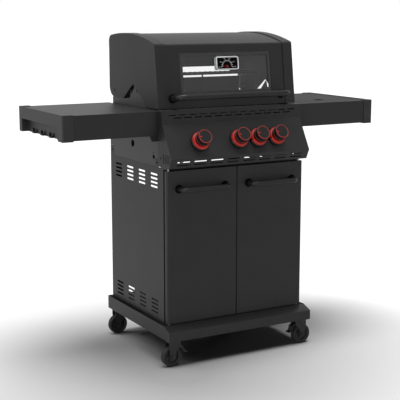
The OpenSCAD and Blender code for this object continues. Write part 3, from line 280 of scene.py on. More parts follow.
# White printing ink of the marks, and red ink of the searing zone and the needle.
WHITE_INK = Finish("white_ink", "#e9e9e6", "#dededa", 0.5, patch_mm=6, grain_mm=1.0,
                   grain_height_mm=0.002)
RED_INK = Finish("red_ink", "#8f1c14", "#7f1811", 0.5, specular=0.2, patch_mm=6,
                 grain_mm=1.0, grain_height_mm=0.002)
GLASS = ClearGlass()


# ---------------------------------------------------------------- mesh tools

def start_on(piece: bpy.types.Object) -> None:
    """Deselects everything, then selects the piece and makes it active.

    Args:
        piece: the piece to work on.
    """
    bpy.ops.object.select_all(action="DESELECT")
    piece.select_set(True)
    bpy.context.view_layer.objects.active = piece


def pick(piece: bpy.types.Object, chosen: Callable[[bpy.types.MeshPolygon], bool]) -> int:
    """Selects faces by a test, and opens the piece in edit mode.

    Args:
        piece: the piece, in object mode.
        chosen: says of each face whether it is wanted.

    Returns:
        How many faces were selected.
    """
    start_on(piece)
    bpy.ops.object.mode_set(mode="EDIT")
    bpy.ops.mesh.select_mode(type="FACE")
    bpy.ops.mesh.select_all(action="DESELECT")
    bpy.ops.object.mode_set(mode="OBJECT")
    count = 0
    for face in piece.data.polygons:
        face.select = bool(chosen(face))
        count += face.select
    bpy.ops.object.mode_set(mode="EDIT")
    return count


def edge_angles(mesh: bpy.types.Mesh) -> dict[int, float]:
    """Measures the angle between the two faces of each edge.

    Args:
        mesh: the mesh to measure.

    Returns:
        Angles in radians by the index of the edge, for edges between two faces.
    """
    normals: dict[tuple[int, int], list[Vector]] = {}
    for face in mesh.polygons:
        for key in face.edge_keys:
            normals.setdefault(key, []).append(face.normal)
    return {edge.index: normals[edge.key][0].angle(normals[edge.key][1], 0.0)
            for edge in mesh.edges if len(normals.get(edge.key, ())) == 2}


def pick_edges(piece: bpy.types.Object,
               chosen: Callable[[Vector, Vector, float], bool]) -> int:
    """Selects edges by a test, and opens the piece in edit mode.

    Args:
        piece: the piece, in object mode.
        chosen: takes an edge's two ends and the angle between its faces, in radians.

    Returns:
        How many edges were selected.
    """
    start_on(piece)
    bpy.ops.object.mode_set(mode="EDIT")
    bpy.ops.mesh.select_mode(type="EDGE")
    bpy.ops.mesh.select_all(action="DESELECT")
    bpy.ops.object.mode_set(mode="OBJECT")
    mesh = piece.data
    angles = edge_angles(mesh)
    count = 0
    for edge in mesh.edges:
        first, second = (mesh.vertices[index].co for index in edge.vertices)
        edge.select = edge.index in angles and bool(chosen(first, second, angles[edge.index]))
        count += edge.select
    bpy.ops.object.mode_set(mode="EDIT")
    return count


def settle(piece: bpy.types.Object, angle: float = 32.0) -> None:
    """Applies the piece's place to its mesh and smooths it up to an angle in degrees.

    Args:
        piece: the piece to finish.
        angle: edges sharper than this, in degrees, stay sharp.
    """
    if bpy.context.mode != "OBJECT":
        bpy.ops.object.mode_set(mode="OBJECT")
    start_on(piece)
    bpy.ops.object.transform_apply(location=True, rotation=True, scale=True)
    bpy.ops.object.shade_smooth_by_angle(angle=math.radians(angle))
    even = piece.modifiers.new("even", "WEIGHTED_NORMAL")
    even.weight = 100
    even.keep_sharp = True
    bpy.ops.object.modifier_apply(modifier=even.name)


def dress(piece: bpy.types.Object, finish: Finish | ClearGlass, body: str) -> None:
    """Gives a piece its first finish and its body.

    Args:
        piece: the piece to dress.
        finish: what it is made of.
        body: the body that it rides on.
    """
    if not piece.data.materials:
        piece.data.materials.append(finish.material())
    else:
        piece.data.materials[0] = finish.material()
    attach(piece, body)


def turned(name: str, profile: Sequence[tuple[float, float]], steps: int = 72) -> bpy.types.Object:
    """Turns a profile about the Z axis, as on a lathe, and closes it at both ends.

    A ring is extruded from point to point and scaled to each radius. An end that isn't on
    the axis is filled flat, and a profile that ends where it began is bridged to itself.

    Args:
        name: the piece's name.
        profile: radius and height in millimetres, from the bottom to the top.
        steps: how many sides the turned piece has.

    Returns:
        The piece, in object mode, standing on the Z axis.
    """
    bpy.ops.object.select_all(action="DESELECT")
    radius, height = profile[0]
    ring = profile[0] == profile[-1]
    bpy.ops.mesh.primitive_circle_add(
        vertices=steps, radius=max(radius, 0.01) * MM, location=(0, 0, height * MM),
        fill_type="NOTHING" if ring or radius < 0.02 else "NGON")
    piece = bpy.context.active_object
    piece.name = name
    bpy.ops.object.transform_apply(location=True, rotation=True, scale=True)
    bpy.ops.object.mode_set(mode="EDIT")
    bpy.ops.mesh.select_mode(type="EDGE")
    bpy.ops.mesh.select_all(action="SELECT")
    for (was, low), (now, high) in zip(profile, profile[1:]):
        bpy.ops.mesh.extrude_region_move(
            TRANSFORM_OT_translate={"value": (0, 0, (high - low) * MM)})
        factor = max(now, 0.01) / max(was, 0.01)
        bpy.ops.transform.resize(value=(factor, factor, 1), center_override=(0, 0, high * MM))
    bpy.ops.mesh.select_all(action="SELECT")
    bpy.ops.mesh.remove_doubles(threshold=0.012 * MM)
    bpy.ops.mesh.normals_make_consistent(inside=False)
    bpy.ops.object.mode_set(mode="OBJECT")
    return piece


def paint(piece: bpy.types.Object, finish: Finish,
          chosen: Callable[[bpy.types.MeshPolygon], bool]) -> None:
    """Gives the chosen faces of a piece a second finish.

    Args:
        piece: the piece, which has its first finish.
        finish: the second finish.
        chosen: says of each face whether it gets that finish.
    """
    names = [slot.name for slot in piece.data.materials]
    if finish.name not in names:
        piece.data.materials.append(finish.material())
        names.append(finish.name)
    pick(piece, chosen)
    piece.active_material_index = names.index(finish.name)
    bpy.ops.object.material_slot_assign()
    bpy.ops.object.mode_set(mode="OBJECT")


def joined(name: str, pieces: Sequence[bpy.types.Object]) -> bpy.types.Object:
    """Joins pieces of one finish into one object and names it.

    Args:
        name: the name of the result.
        pieces: the pieces, the first of which takes in the others.

    Returns:
        The joined piece.
    """
    start_on(pieces[0])
    for piece in pieces:
        piece.select_set(True)
    bpy.ops.object.join()
    pieces[0].name = name
    return pieces[0]


def copied(piece: bpy.types.Object, name: str, place: Matrix) -> bpy.types.Object:
    """Copies a piece with its own mesh and puts the copy at its place.

    Args:
        piece: the model, standing at the origin.
        name: the copy's name.
        place: where the copy goes.

    Returns:
        The copy, with its place in its mesh.
    """
    twin = bpy.data.objects.new(name, piece.data.copy())
    bpy.context.scene.collection.objects.link(twin)
    twin.matrix_world = place
    settle(twin)
    return twin


def cut(piece: bpy.types.Object, tool: bpy.types.Object) -> None:
    """Cuts a tool out of a piece and deletes the tool.

    Args:
        piece: the piece to cut.
        tool: the closed shape that is cut away.
    """
    start_on(piece)
    trim = piece.modifiers.new("cut", "BOOLEAN")
    trim.operation = "DIFFERENCE"
    trim.solver = "EXACT"
    trim.object = tool
    bpy.ops.object.modifier_apply(modifier=trim.name)
    bpy.data.objects.remove(tool, do_unlink=True)


def box_piece(name: str, low: Sequence[float], high: Sequence[float]) -> bpy.types.Object:
    """Adds a box between two corners, in millimetres, as the start of a piece.

    Args:
        name: the name of the box.
        low: the lowest corner.
        high: the highest corner.

    Returns:
        The box, in object mode.
    """
    bpy.ops.object.select_all(action="DESELECT")
    middle = [(a + b) / 2 * MM for a, b in zip(low, high)]
    bpy.ops.mesh.primitive_cube_add(size=1, location=middle)
    piece = bpy.context.active_object
    piece.name = name
    piece.scale = [abs(b - a) * MM for a, b in zip(low, high)]
    bpy.ops.object.transform_apply(location=True, rotation=True, scale=True)
    return piece


class Edges(Enum):
    """Which edges of a CAD solid are rounded."""

    ALL = "every sharp edge"
    FOLDS = "the long folds that run along the grill's width"


@dataclass(frozen=True)
class Softened:
    """A CAD solid that is shown with rounded edges, as bending or moulding leaves them."""

    node: str
    finish: Finish
    radius_mm: float
    edges: Edges = Edges.ALL
    steps: int = 2
    sharp: float = 35.0
    long_mm: float = 200.0
    corner_mm: float = 0.0

    def build(self) -> bpy.types.Object:
        """Rounds the edges of a copy, which stands for its node.

        Returns:
            The rounded copy.
        """
        source = frame["nodes"][self.node]
        piece = bpy.data.objects.new(f"{self.node}_rounded", source.data.copy())
        bpy.context.scene.collection.objects.link(piece)
        start_on(piece)
        bpy.ops.object.mode_set(mode="EDIT")
        bpy.ops.mesh.select_all(action="SELECT")
        bpy.ops.mesh.customdata_custom_splitnormals_clear()
        bpy.ops.mesh.remove_doubles(threshold=WELD)
        bpy.ops.mesh.dissolve_limited(angle_limit=math.radians(0.6))
        bpy.ops.object.mode_set(mode="OBJECT")
        if self.corner_mm:
            low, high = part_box(self.node)
            sides = (low.y, high.y)
            if pick_edges(piece, lambda a, b, angle: angle > SQUARE
                          and abs(a.z - b.z) > 40 * MM and abs(a.x) > high.x - MM
                          and min(abs(a.y - side) for side in sides) < MM):
                bpy.ops.mesh.bevel(offset=self.corner_mm * MM, segments=5, profile=0.5,
                                   clamp_overlap=False, affect="EDGES")
            bpy.ops.object.mode_set(mode="OBJECT")
        if pick_edges(piece, self.wanted):
            bpy.ops.mesh.bevel(offset=self.radius_mm * MM, segments=self.steps,
                               profile=0.5, clamp_overlap=True, affect="EDGES")
        settle(piece)
        piece.data.materials.clear()
        dress(piece, self.finish, body_of(self.node))
        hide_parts(self.node)
        return piece

    def wanted(self, first: Vector, second: Vector, angle: float) -> bool:
        """Says whether an edge is rounded, from its ends and its faces' angle.

        Args:
            first: one end of the edge.
            second: its other end.
            angle: the angle between its faces, in radians.

        Returns:
            True for an edge that is rounded.
        """
        if angle < math.radians(self.sharp):
            return False
        if self.edges is Edges.FOLDS:
            way = second - first
            return abs(way.x) > self.long_mm * MM and abs(way.x) > 0.98 * way.length
        return True


def body_of(node: str) -> str:
    """Returns the body that a CAD node rides on."""
    groups = frame["record"]["behaviour"]["bodies"]
    return next(body for body, nodes in groups.items() if node in nodes)


def joint(name: str) -> dict:
    """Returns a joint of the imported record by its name."""
    return next(item for item in frame["joints"] if item["name"] == name)


# ---------------------------------------------------------------- places

DOOR_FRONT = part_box("door_left")[0].y / MM
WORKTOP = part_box("shelf_left")[1].z / MM
MIRRORED = (-1, 1)


@dataclass(frozen=True)
class Slant:
    """A flat face that leans back: its foot and its lean, in millimetres and degrees."""

    foot_y: float
    foot_z: float
    lean: float

    def place(self, across: float, up: float, out: float) -> Matrix:
        """Finds the place of a piece on the face.

        Args:
            across: how far to the right of the grill's middle.
            up: how far up the face from its foot.
            out: how far in front of the face.

        Returns:
            A matrix whose +Y runs up the face and whose +Z points out of it.
        """
        return (Matrix.Translation(Vector((across, self.foot_y, self.foot_z)) * MM)
                @ Matrix.Rotation(math.radians(90 - self.lean), 4, "X")
                @ Matrix.Translation(Vector((0, up, out)) * MM))


LID_FRONT = Slant(DOOR_FRONT + 57.5, WORKTOP + 6, 7.6)
UPRIGHT = Slant(DOOR_FRONT, 0, 0)


def finish_nodes(finish: Finish | ClearGlass, *nodes: str) -> None:
    """Gives CAD nodes that stay in view their finish.

    Args:
        finish: what the nodes are made of.
        nodes: their names.
    """
    for node in nodes:
        item = frame["nodes"][node]
        for slot in item.material_slots:
            slot.material = finish.material()
        LOG.info("%s wears %s", node, finish.name)


def report(piece: bpy.types.Object) -> bpy.types.Object:
    """Reports a finished piece and hands it back."""
    LOG.info("%s: %d faces", piece.name, len(piece.data.polygons))
    return piece


def soften(finish: Finish, radius_mm: float, *nodes: str, **settings: object) -> None:
    """Builds rounded copies of CAD nodes that share a finish and a radius."""
    for node in nodes:
        report(Softened(node, finish, radius_mm, **settings).build())


# ---------------------------------------------------------------- base and casters

@dataclass
class BaseTray:
    """The folded tray that carries the cabinet."""

    fold_mm: float = 2.0

    def build(self) -> None:
        """Rounds the tray's folds and paints shade on its floor inside the cabinet."""
        tray = Softened("base_tray", POWDER_COAT, self.fold_mm).build()
        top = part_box("base_tray")[1].z
        # Painted shade: the floor inside the cabinet gets the darker, matt coat.
        paint(tray, DARK_MATT_COAT, lambda face: face.normal.z > 0.99 and face.center.z > top - MM)
        report(tray)


@dataclass
class Casters:
    """Four swivel casters with twin-lip tyres, ribbed hubs and brake pedals."""

    wheel_w: float = 24.0
    wheel_d: float = 75.0
    hub_r: float = 26.5
    axle_r: float = 4.06
    web: float = 3.4
    ribs: int = 6
    bolt_out: float = 16.6
    fork_edge_mm: float = 0.6
    pedal_edge_mm: float = 1.0

    def tyre(self) -> bpy.types.Object:
        """Turns a tyre about Z, closed on itself.

        Returns:
            The model of a tyre.
        """
        edge, out = self.wheel_w / 2, self.wheel_d / 2
        flank = [(self.hub_r + 0.2, edge - 3), (self.hub_r + 3.4, edge - 0.8),
                 (out - 5, edge), (out - 2, edge - 1), (out - 0.4, edge - 3.6)]
        tread = [(out, edge - 7), (out, edge - 9.4), (out - 0.5, edge - 9.8),
                 (out - 0.5, edge - 10.6), (out, edge - 11)]
        half = flank + tread
        profile = [(r, -z) for r, z in half] + [(r, z) for r, z in reversed(half)]
        return turned("tyre_model", [*profile, profile[0]], 80)

    def hub(self) -> bpy.types.Object:
        """Turns a hub with a boss, a recessed web and a rim, and sets its ribs.

        Returns:
            The model of a hub.
        """
        edge = self.wheel_w / 2
        half = [(self.axle_r, edge), (9, edge), (9.6, edge - 0.6), (9.9, self.web + 1.4),
                (11, self.web), (self.hub_r - 4, self.web), (self.hub_r - 2.8, self.web + 0.9),
                (self.hub_r - 2.1, edge - 3.4), (self.hub_r, edge - 3.1)]
        profile = [(r, -z) for r, z in half] + [(r, z) for r, z in reversed(half)]
        pieces = [turned("hub_model", [*profile, profile[0]], 64)]
        for step in range(self.ribs):
            rib = box_piece("rib", (9, -1.1, -self.web - 3.2),
                            (self.hub_r - 2.4, 1.1, self.web + 3.2))
            turn = Matrix.Rotation(math.tau * step / self.ribs, 4, "Z")
            pieces.append(copied(rib, f"rib_{step}", turn))
            bpy.data.objects.remove(rib, do_unlink=True)
        return joined("hub_model", pieces)

    def build(self) -> None:
        """Builds the wheels and rounds the forks and pedals."""
        tyre, hub = self.tyre(), self.hub()
        for index in range(1, 5):
            place = (Matrix.Translation(joint(f"wheel_spin_{index}")["pos_m"])
                     @ Matrix.Rotation(math.radians(90), 4, "X"))
            for model, part, finish in ((tyre, "tyre", RUBBER), (hub, "hub", BLACK_NYLON)):
                piece = copied(model, f"caster_wheel_{index}_{part}", place)
                dress(piece, finish, f"wheel_{index}")
                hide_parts(f"caster_wheel_{index}")
                report(piece)
            self.fork(index, place.translation.y)
        for model in (tyre, hub):
            bpy.data.objects.remove(model, do_unlink=True)
        finish_nodes(BLACK_ZINC, "caster_plates")

    def fork(self, index: int, middle: float) -> None:
        """Rounds a fork and its pedal, and sets off the axle bolt's heads.

        Args:
            index: the number of the caster.
            middle: where the middle of its wheel is along Y, in metres.
        """
        fork = Softened(f"caster_fork_{index}", POWDER_COAT, self.fork_edge_mm).build()
        paint(fork, BLACK_ZINC, lambda face: abs(face.center.y - middle) > self.bolt_out * MM)
        report(fork)
        soften(POWDER_COAT, self.pedal_edge_mm, f"brake_pedal_{index}")


# ---------------------------------------------------------------- cabinet

@dataclass
class BowHandle:
    """A bent tube on two rosettes; its posts and its bar are one swept bend."""

    node: str
    rosette_r: float
    rosette_h: float
    foot: Slant
    across: tuple[float, float]
    up: float
    out: float = 0.0

    def rosette(self, tube_r: float) -> bpy.types.Object:
        """Turns a rosette: a low cone with a rounded rim around the tube.

        Args:
            tube_r: the radius of the tube.

        Returns:
            The model of a rosette.
        """
        r, h = self.rosette_r, self.rosette_h
        inner = tube_r + 0.12
        return turned("rosette_model", [
            (inner, 0), (r - 0.4, 0), (r, 0.4), (r, h * 0.45), (r - 0.5, h * 0.72),
            (inner + 1.4, h), (inner, h), (inner, 0)], 48)

    def build(self, tube_r: float) -> None:
        """Smooths the tube and stands a rosette under each post.

        Args:
            tube_r: the radius of the tube.
        """
        soften(TUBE_COAT, 0.0, self.node)
        model = self.rosette(tube_r)
        pieces = [copied(model, f"{self.node}_rosette_{index}",
                         self.foot.place(x, self.up, self.out))
                  for index, x in enumerate(self.across)]
        bpy.data.objects.remove(model, do_unlink=True)
        piece = joined(f"{self.node}_rosettes", pieces)
        # Painted shade: the rosettes are near-black, for the shadow around the posts.
        dress(piece, ROSETTE_SHADE, body_of(self.node))
        report(piece)


@dataclass
class Cabinet:
    """Side panels, frame, doors with their pins and handles."""

    door_edge_mm: float = 1.6
    handle_x: float = 144.0
    handle_span: float = 188.0
    handle_up: float = 639.0
    handle_r: float = 9.0
    rosette_r: float = 15.5
    rosette_h: float = 3.0
    seat: float = 0.1

    def build(self) -> None:
        """Dresses the carcass and builds the doors."""
        finish_nodes(POWDER_COAT, "side_panels", "cabinet_frame")
        finish_nodes(WHITE_NYLON, "door_hinge_pins")
        soften(POWDER_COAT, self.door_edge_mm, "door_left", "door_right")
        for side, name in zip(MIRRORED, ("door_handle_left", "door_handle_right")):
            posts = (side * self.handle_x - self.handle_span / 2,
                     side * self.handle_x + self.handle_span / 2)
            BowHandle(name, self.rosette_r, self.rosette_h, UPRIGHT, posts, self.handle_up,
                      self.seat).build(self.handle_r)


@dataclass
class Firebox:
    """The trough with its cast sides, burners, heat plates, grates and rack."""

    grate_edge_mm: float = 1.2
    side_edge_mm: float = 1.2
    tray_edge_mm: float = 0.8

    def build(self) -> None:
        """Dresses the firebox and what stands in it."""
        # The shoulder plates' lighter coat is painted light, for light under the shelves.
        finish_nodes(SHOULDER_COAT, "shoulder_plates")
        finish_nodes(ENAMEL, "firebox")
        soften(SHOULDER_COAT, self.side_edge_mm, "firebox_sides")
        finish_nodes(BRUSHED_STEEL, "main_burners", "flame_tamers")
        soften(CAST_IRON, self.grate_edge_mm, "cooking_grates")
        soften(ENAMEL, 0.0, "warming_rack")
        soften(CERAMIC, 0.0, "igniter_electrodes")
        finish_nodes(GALVANISED, "tray_runners")
        soften(ENAMEL, self.tray_edge_mm, "drip_tray")
        finish_nodes(DARK_MATT_COAT, "lid_hinge_pins")
        finish_nodes(ZINC, "gas_pipes")
        finish_nodes(BRASS, "gas_valves", *(f"valve_stem_{i}" for i in range(1, 5)))


# ---------------------------------------------------------------- control panel

@dataclass
class Knobs:
    """Four push-and-turn knobs with red rings, each in a red bezel on the panel."""

    lean: float = 30.0
    bezel_r: float = 36.0
    bezel_h: float = 19.0
    shoulder_w: float = 2.8
    red_from: float = 10.3
    face_r: float = 26.0
    face_z: float = 49.0
    ring_z: tuple[float, float] = (27.0, 30.0)
    mark_r: float = 3.4
    mark_at: float = 17.4

    def knob(self) -> bpy.types.Object:
        """Turns a knob with a skirt, a thin collar, a neck and a dished face.

        Returns:
            The model of a knob.
        """
        r, z = self.face_r, self.face_z
        low, high = self.ring_z
        return turned("knob_model", [
            (14, 8.5), (19.4, 8.5), (20, 9.1), (20, 24), (r + 1, 24), (r + 1.5, 24.5),
            (r + 1.5, low), (r + 1.5, high), (r + 1.1, high + 0.5), (r - 0.5, high + 1),
            (r - 0.5, z - 3.4), (r, z - 2.9), (r, z - 0.5), (r - 0.4, z), (r - 2.8, z),
            (r - 3.3, z - 0.5), (r - 3.8, z - 1.2), (r - 5, z - 1.4), (r - 12, z - 1.4),
            (0, z - 1.4)], 96)

    def bezel(self) -> bpy.types.Object:
        """Turns a bezel: a red dome on a black shoulder, open inside.

        Returns:
            The model of a bezel.
        """
        r, h = self.bezel_r, self.bezel_h
        red = r - self.shoulder_w
        dome = [(red - 7.4 + 7.4 * math.cos(a), h - 8.4 + 8.4 * math.sin(a))
                for a in (math.radians(step * 90 / 7) for step in range(8))]
        profile = [(r - 13, 0.2), (r - 0.6, 0.2), (r, 0.8), (r, 6), (r - 0.8, 7.6),
                   (red + 0.3, 9.4), (red, 10), *dome, (red - 7.8, h), (red - 8.2, h - 0.7),
                   (r - 12.7, h - 7.5), (r - 13, h - 8.4)]
        return turned("bezel_model", [*profile, profile[0]], 96)

    def mark(self) -> bpy.types.Object:
        """Turns a knob's raised dot.

        Returns:
            The model of the dot, at its place on the knob.
        """
        base = self.face_z - 1.5
        piece = turned("mark_model", [(self.mark_r, base), (self.mark_r, base + 0.5),
                                      (self.mark_r - 0.4, base + 0.9), (0, base + 1)], 24)
        dot = copied(piece, "dot_model", Matrix.Translation((-self.mark_at * MM, 0, 0)))
        bpy.data.objects.remove(piece, do_unlink=True)
        return dot

    def red_parts(self, face: bpy.types.MeshPolygon) -> bool:
        """Says whether a face of the knob's model belongs to one of its red rings.

        Args:
            face: a face of the knob's model.

        Returns:
            True for a red face.
        """
        radius = Vector(face.center[:2]).length / MM
        height = face.center.z / MM
        rim = height > self.face_z - 2.8 and radius > self.face_r - 3.5
        collar = self.ring_z[0] < height < self.ring_z[1] and radius > self.face_r + 1
        return rim or collar

    def build(self) -> None:
        """Builds the knobs, their dots and their bezels."""
        knob, bezel, mark = self.knob(), self.bezel(), self.mark()
        knob.data.materials.append(PHENOLIC.material())
        # The rings' darker red is painted shade.
        paint(knob, SHADED_RED_RING, self.red_parts)
        bezel.data.materials.append(RED_LACQUER.material())
        # The bezel's foot and its inside are painted black: partly painted shade, for the shade at its foot and in
        # the gap around the knob.
        paint(bezel, PHENOLIC, lambda face: face.center.z < self.red_from * MM
              or Vector(face.center[:2]).length < (self.bezel_r - 10.4) * MM)
        bezels = []
        for index in range(1, 5):
            place = (Matrix.Translation(joint(f"knob_turn_{index}")["pos_m"])
                     @ Matrix.Rotation(math.radians(90 - self.lean), 4, "X"))
            piece = copied(knob, f"knob_{index}_turned", place)
            dress(piece, PHENOLIC, f"knob_{index}")
            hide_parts(f"knob_{index}")
            report(piece)
            dot = copied(mark, f"knob_{index}_mark", place)
            dress(dot, RED_LACQUER, f"knob_{index}")
            report(dot)
            bezels.append(copied(bezel, f"bezel_{index}", place))
        ring = joined("knob_bezels_turned", bezels)
        dress(ring, RED_LACQUER, "frame")
        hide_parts("knob_bezels")
        report(ring)
        for model in (knob, bezel, mark):
            bpy.data.objects.remove(model, do_unlink=True)


@dataclass
class ControlPanel:
    """The folded panel, its moulded end caps and its screws."""

    fold_mm: float = 2.5
    cap_edge_mm: float = 0.8
    screw_r: float = 4.0
    screw_proud: float = 1.1

    def screw(self) -> bpy.types.Object:
        """Turns a pan-head screw and cuts its cross recess.

        Returns:
            The model of a screw.
        """
        r = self.screw_r
        head = turned("screw_model", [(r, 0), (r, 1.1), (r - 0.3, 1.6), (r - 1.2, 2.3),
                                      (r - 2.4, 2.65), (0, 2.7)], 24)
        for turn in (0, 90):
            bar = box_piece("recess", (-2.1, -0.45, 1.5), (2.1, 0.45, 4))
            cut(head, copied(bar, "recess_bar", Matrix.Rotation(math.radians(turn), 4, "Z")))
            bpy.data.objects.remove(bar, do_unlink=True)
        return head

    def screws(self) -> None:
        """Puts a cross-recessed head over each plain one."""
        model = self.screw()
        copies = []
        for index, centre in enumerate(loose_centres(frame["nodes"]["panel_screws"])):
            side = 1 if centre.x > 0 else -1
            seat = centre - Vector((side * self.screw_proud * MM, 0, 0))
            place = Matrix.Translation(seat) @ Matrix.Rotation(math.radians(90 * side), 4, "Y")
            copies.append(copied(model, f"screw_{index}", place))
        bpy.data.objects.remove(model, do_unlink=True)
        piece = joined("panel_screws_recessed", copies)
        dress(piece, BLACK_ZINC, "frame")
        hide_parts("panel_screws")
        report(piece)

    def build(self) -> None:
        """Rounds the panel's folds and its caps and sets the screws."""
        soften(POWDER_COAT, self.fold_mm, "control_panel", edges=Edges.FOLDS, steps=3,
               sharp=20.0)
        soften(BLACK_NYLON, self.cap_edge_mm, "panel_end_caps")
        self.screws()
        Knobs().build()


def loose_centres(item: bpy.types.Object) -> list[Vector]:
    """Finds the middles of the separate solids of a CAD node.

    Args:
        item: the CAD node, whose mesh is left alone.

    Returns:
        The middle of each solid's box, in metres.
    """
    twin = bpy.data.objects.new("solids", item.data.copy())
    bpy.context.scene.collection.objects.link(twin)
    start_on(twin)
    bpy.ops.object.mode_set(mode="EDIT")
    bpy.ops.mesh.select_all(action="SELECT")
    bpy.ops.mesh.remove_doubles(threshold=WELD)
    bpy.ops.mesh.separate(type="LOOSE")
    bpy.ops.object.mode_set(mode="OBJECT")
    solids = list(bpy.context.selected_objects)
    centres = []
    for solid in solids:
        corners = [Vector(corner) for corner in solid.bound_box]
        centres.append(sum(corners, Vector()) / len(corners))
    for solid in solids:
        bpy.data.objects.remove(solid, do_unlink=True)
    return centres


# ---------------------------------------------------------------- shelves

@dataclass
class Shelves:
    """Side shelves with moulded end caps, and the side burner under its cover."""

    fold_mm: float = 2.5
    cap_edge_mm: float = 2.6
    cap_corner_mm: float = 6.5
    bracket_edge_mm: float = 0.8
    cover_edge_mm: float = 1.6
    burner_edge_mm: float = 0.5
    burner_r: float = 33.0

    def build(self) -> None:
        """Rounds the shelves and builds the side burner."""
        soften(POWDER_COAT, self.fold_mm, "shelf_left", edges=Edges.FOLDS, steps=3)
        hob = Softened("shelf_right", POWDER_COAT, self.fold_mm, Edges.FOLDS, 3).build()
        # Painted shade: the right shelf's top gets the darker, matt paint.
        paint(hob, HOB_SHADE_PAINT, lambda face: face.normal.z > 0.99
              and face.center.z > (WORKTOP - 1) * MM)
        report(hob)
        soften(BLACK_NYLON, self.cap_edge_mm, "shelf_end_caps", steps=3,
               corner_mm=self.cap_corner_mm)
        soften(POWDER_COAT, self.bracket_edge_mm, "shelf_brackets")
        # The side burner's cover gets the same painted shade.
        soften(HOB_SHADE_PAINT, self.cover_edge_mm, "side_burner_cover", steps=3)
        finish_nodes(BRUSHED_STEEL, "side_burner_bowl")
        low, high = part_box("side_burner")
        middle = (low + high) / 2
        burner = Softened("side_burner", CAST_IRON, self.burner_edge_mm).build()
        paint(burner, BRASS, lambda face: Vector(
            (face.center.x - middle.x, face.center.y - middle.y)).length < self.burner_r * MM)
        report(burner)


# ---------------------------------------------------------------- lid

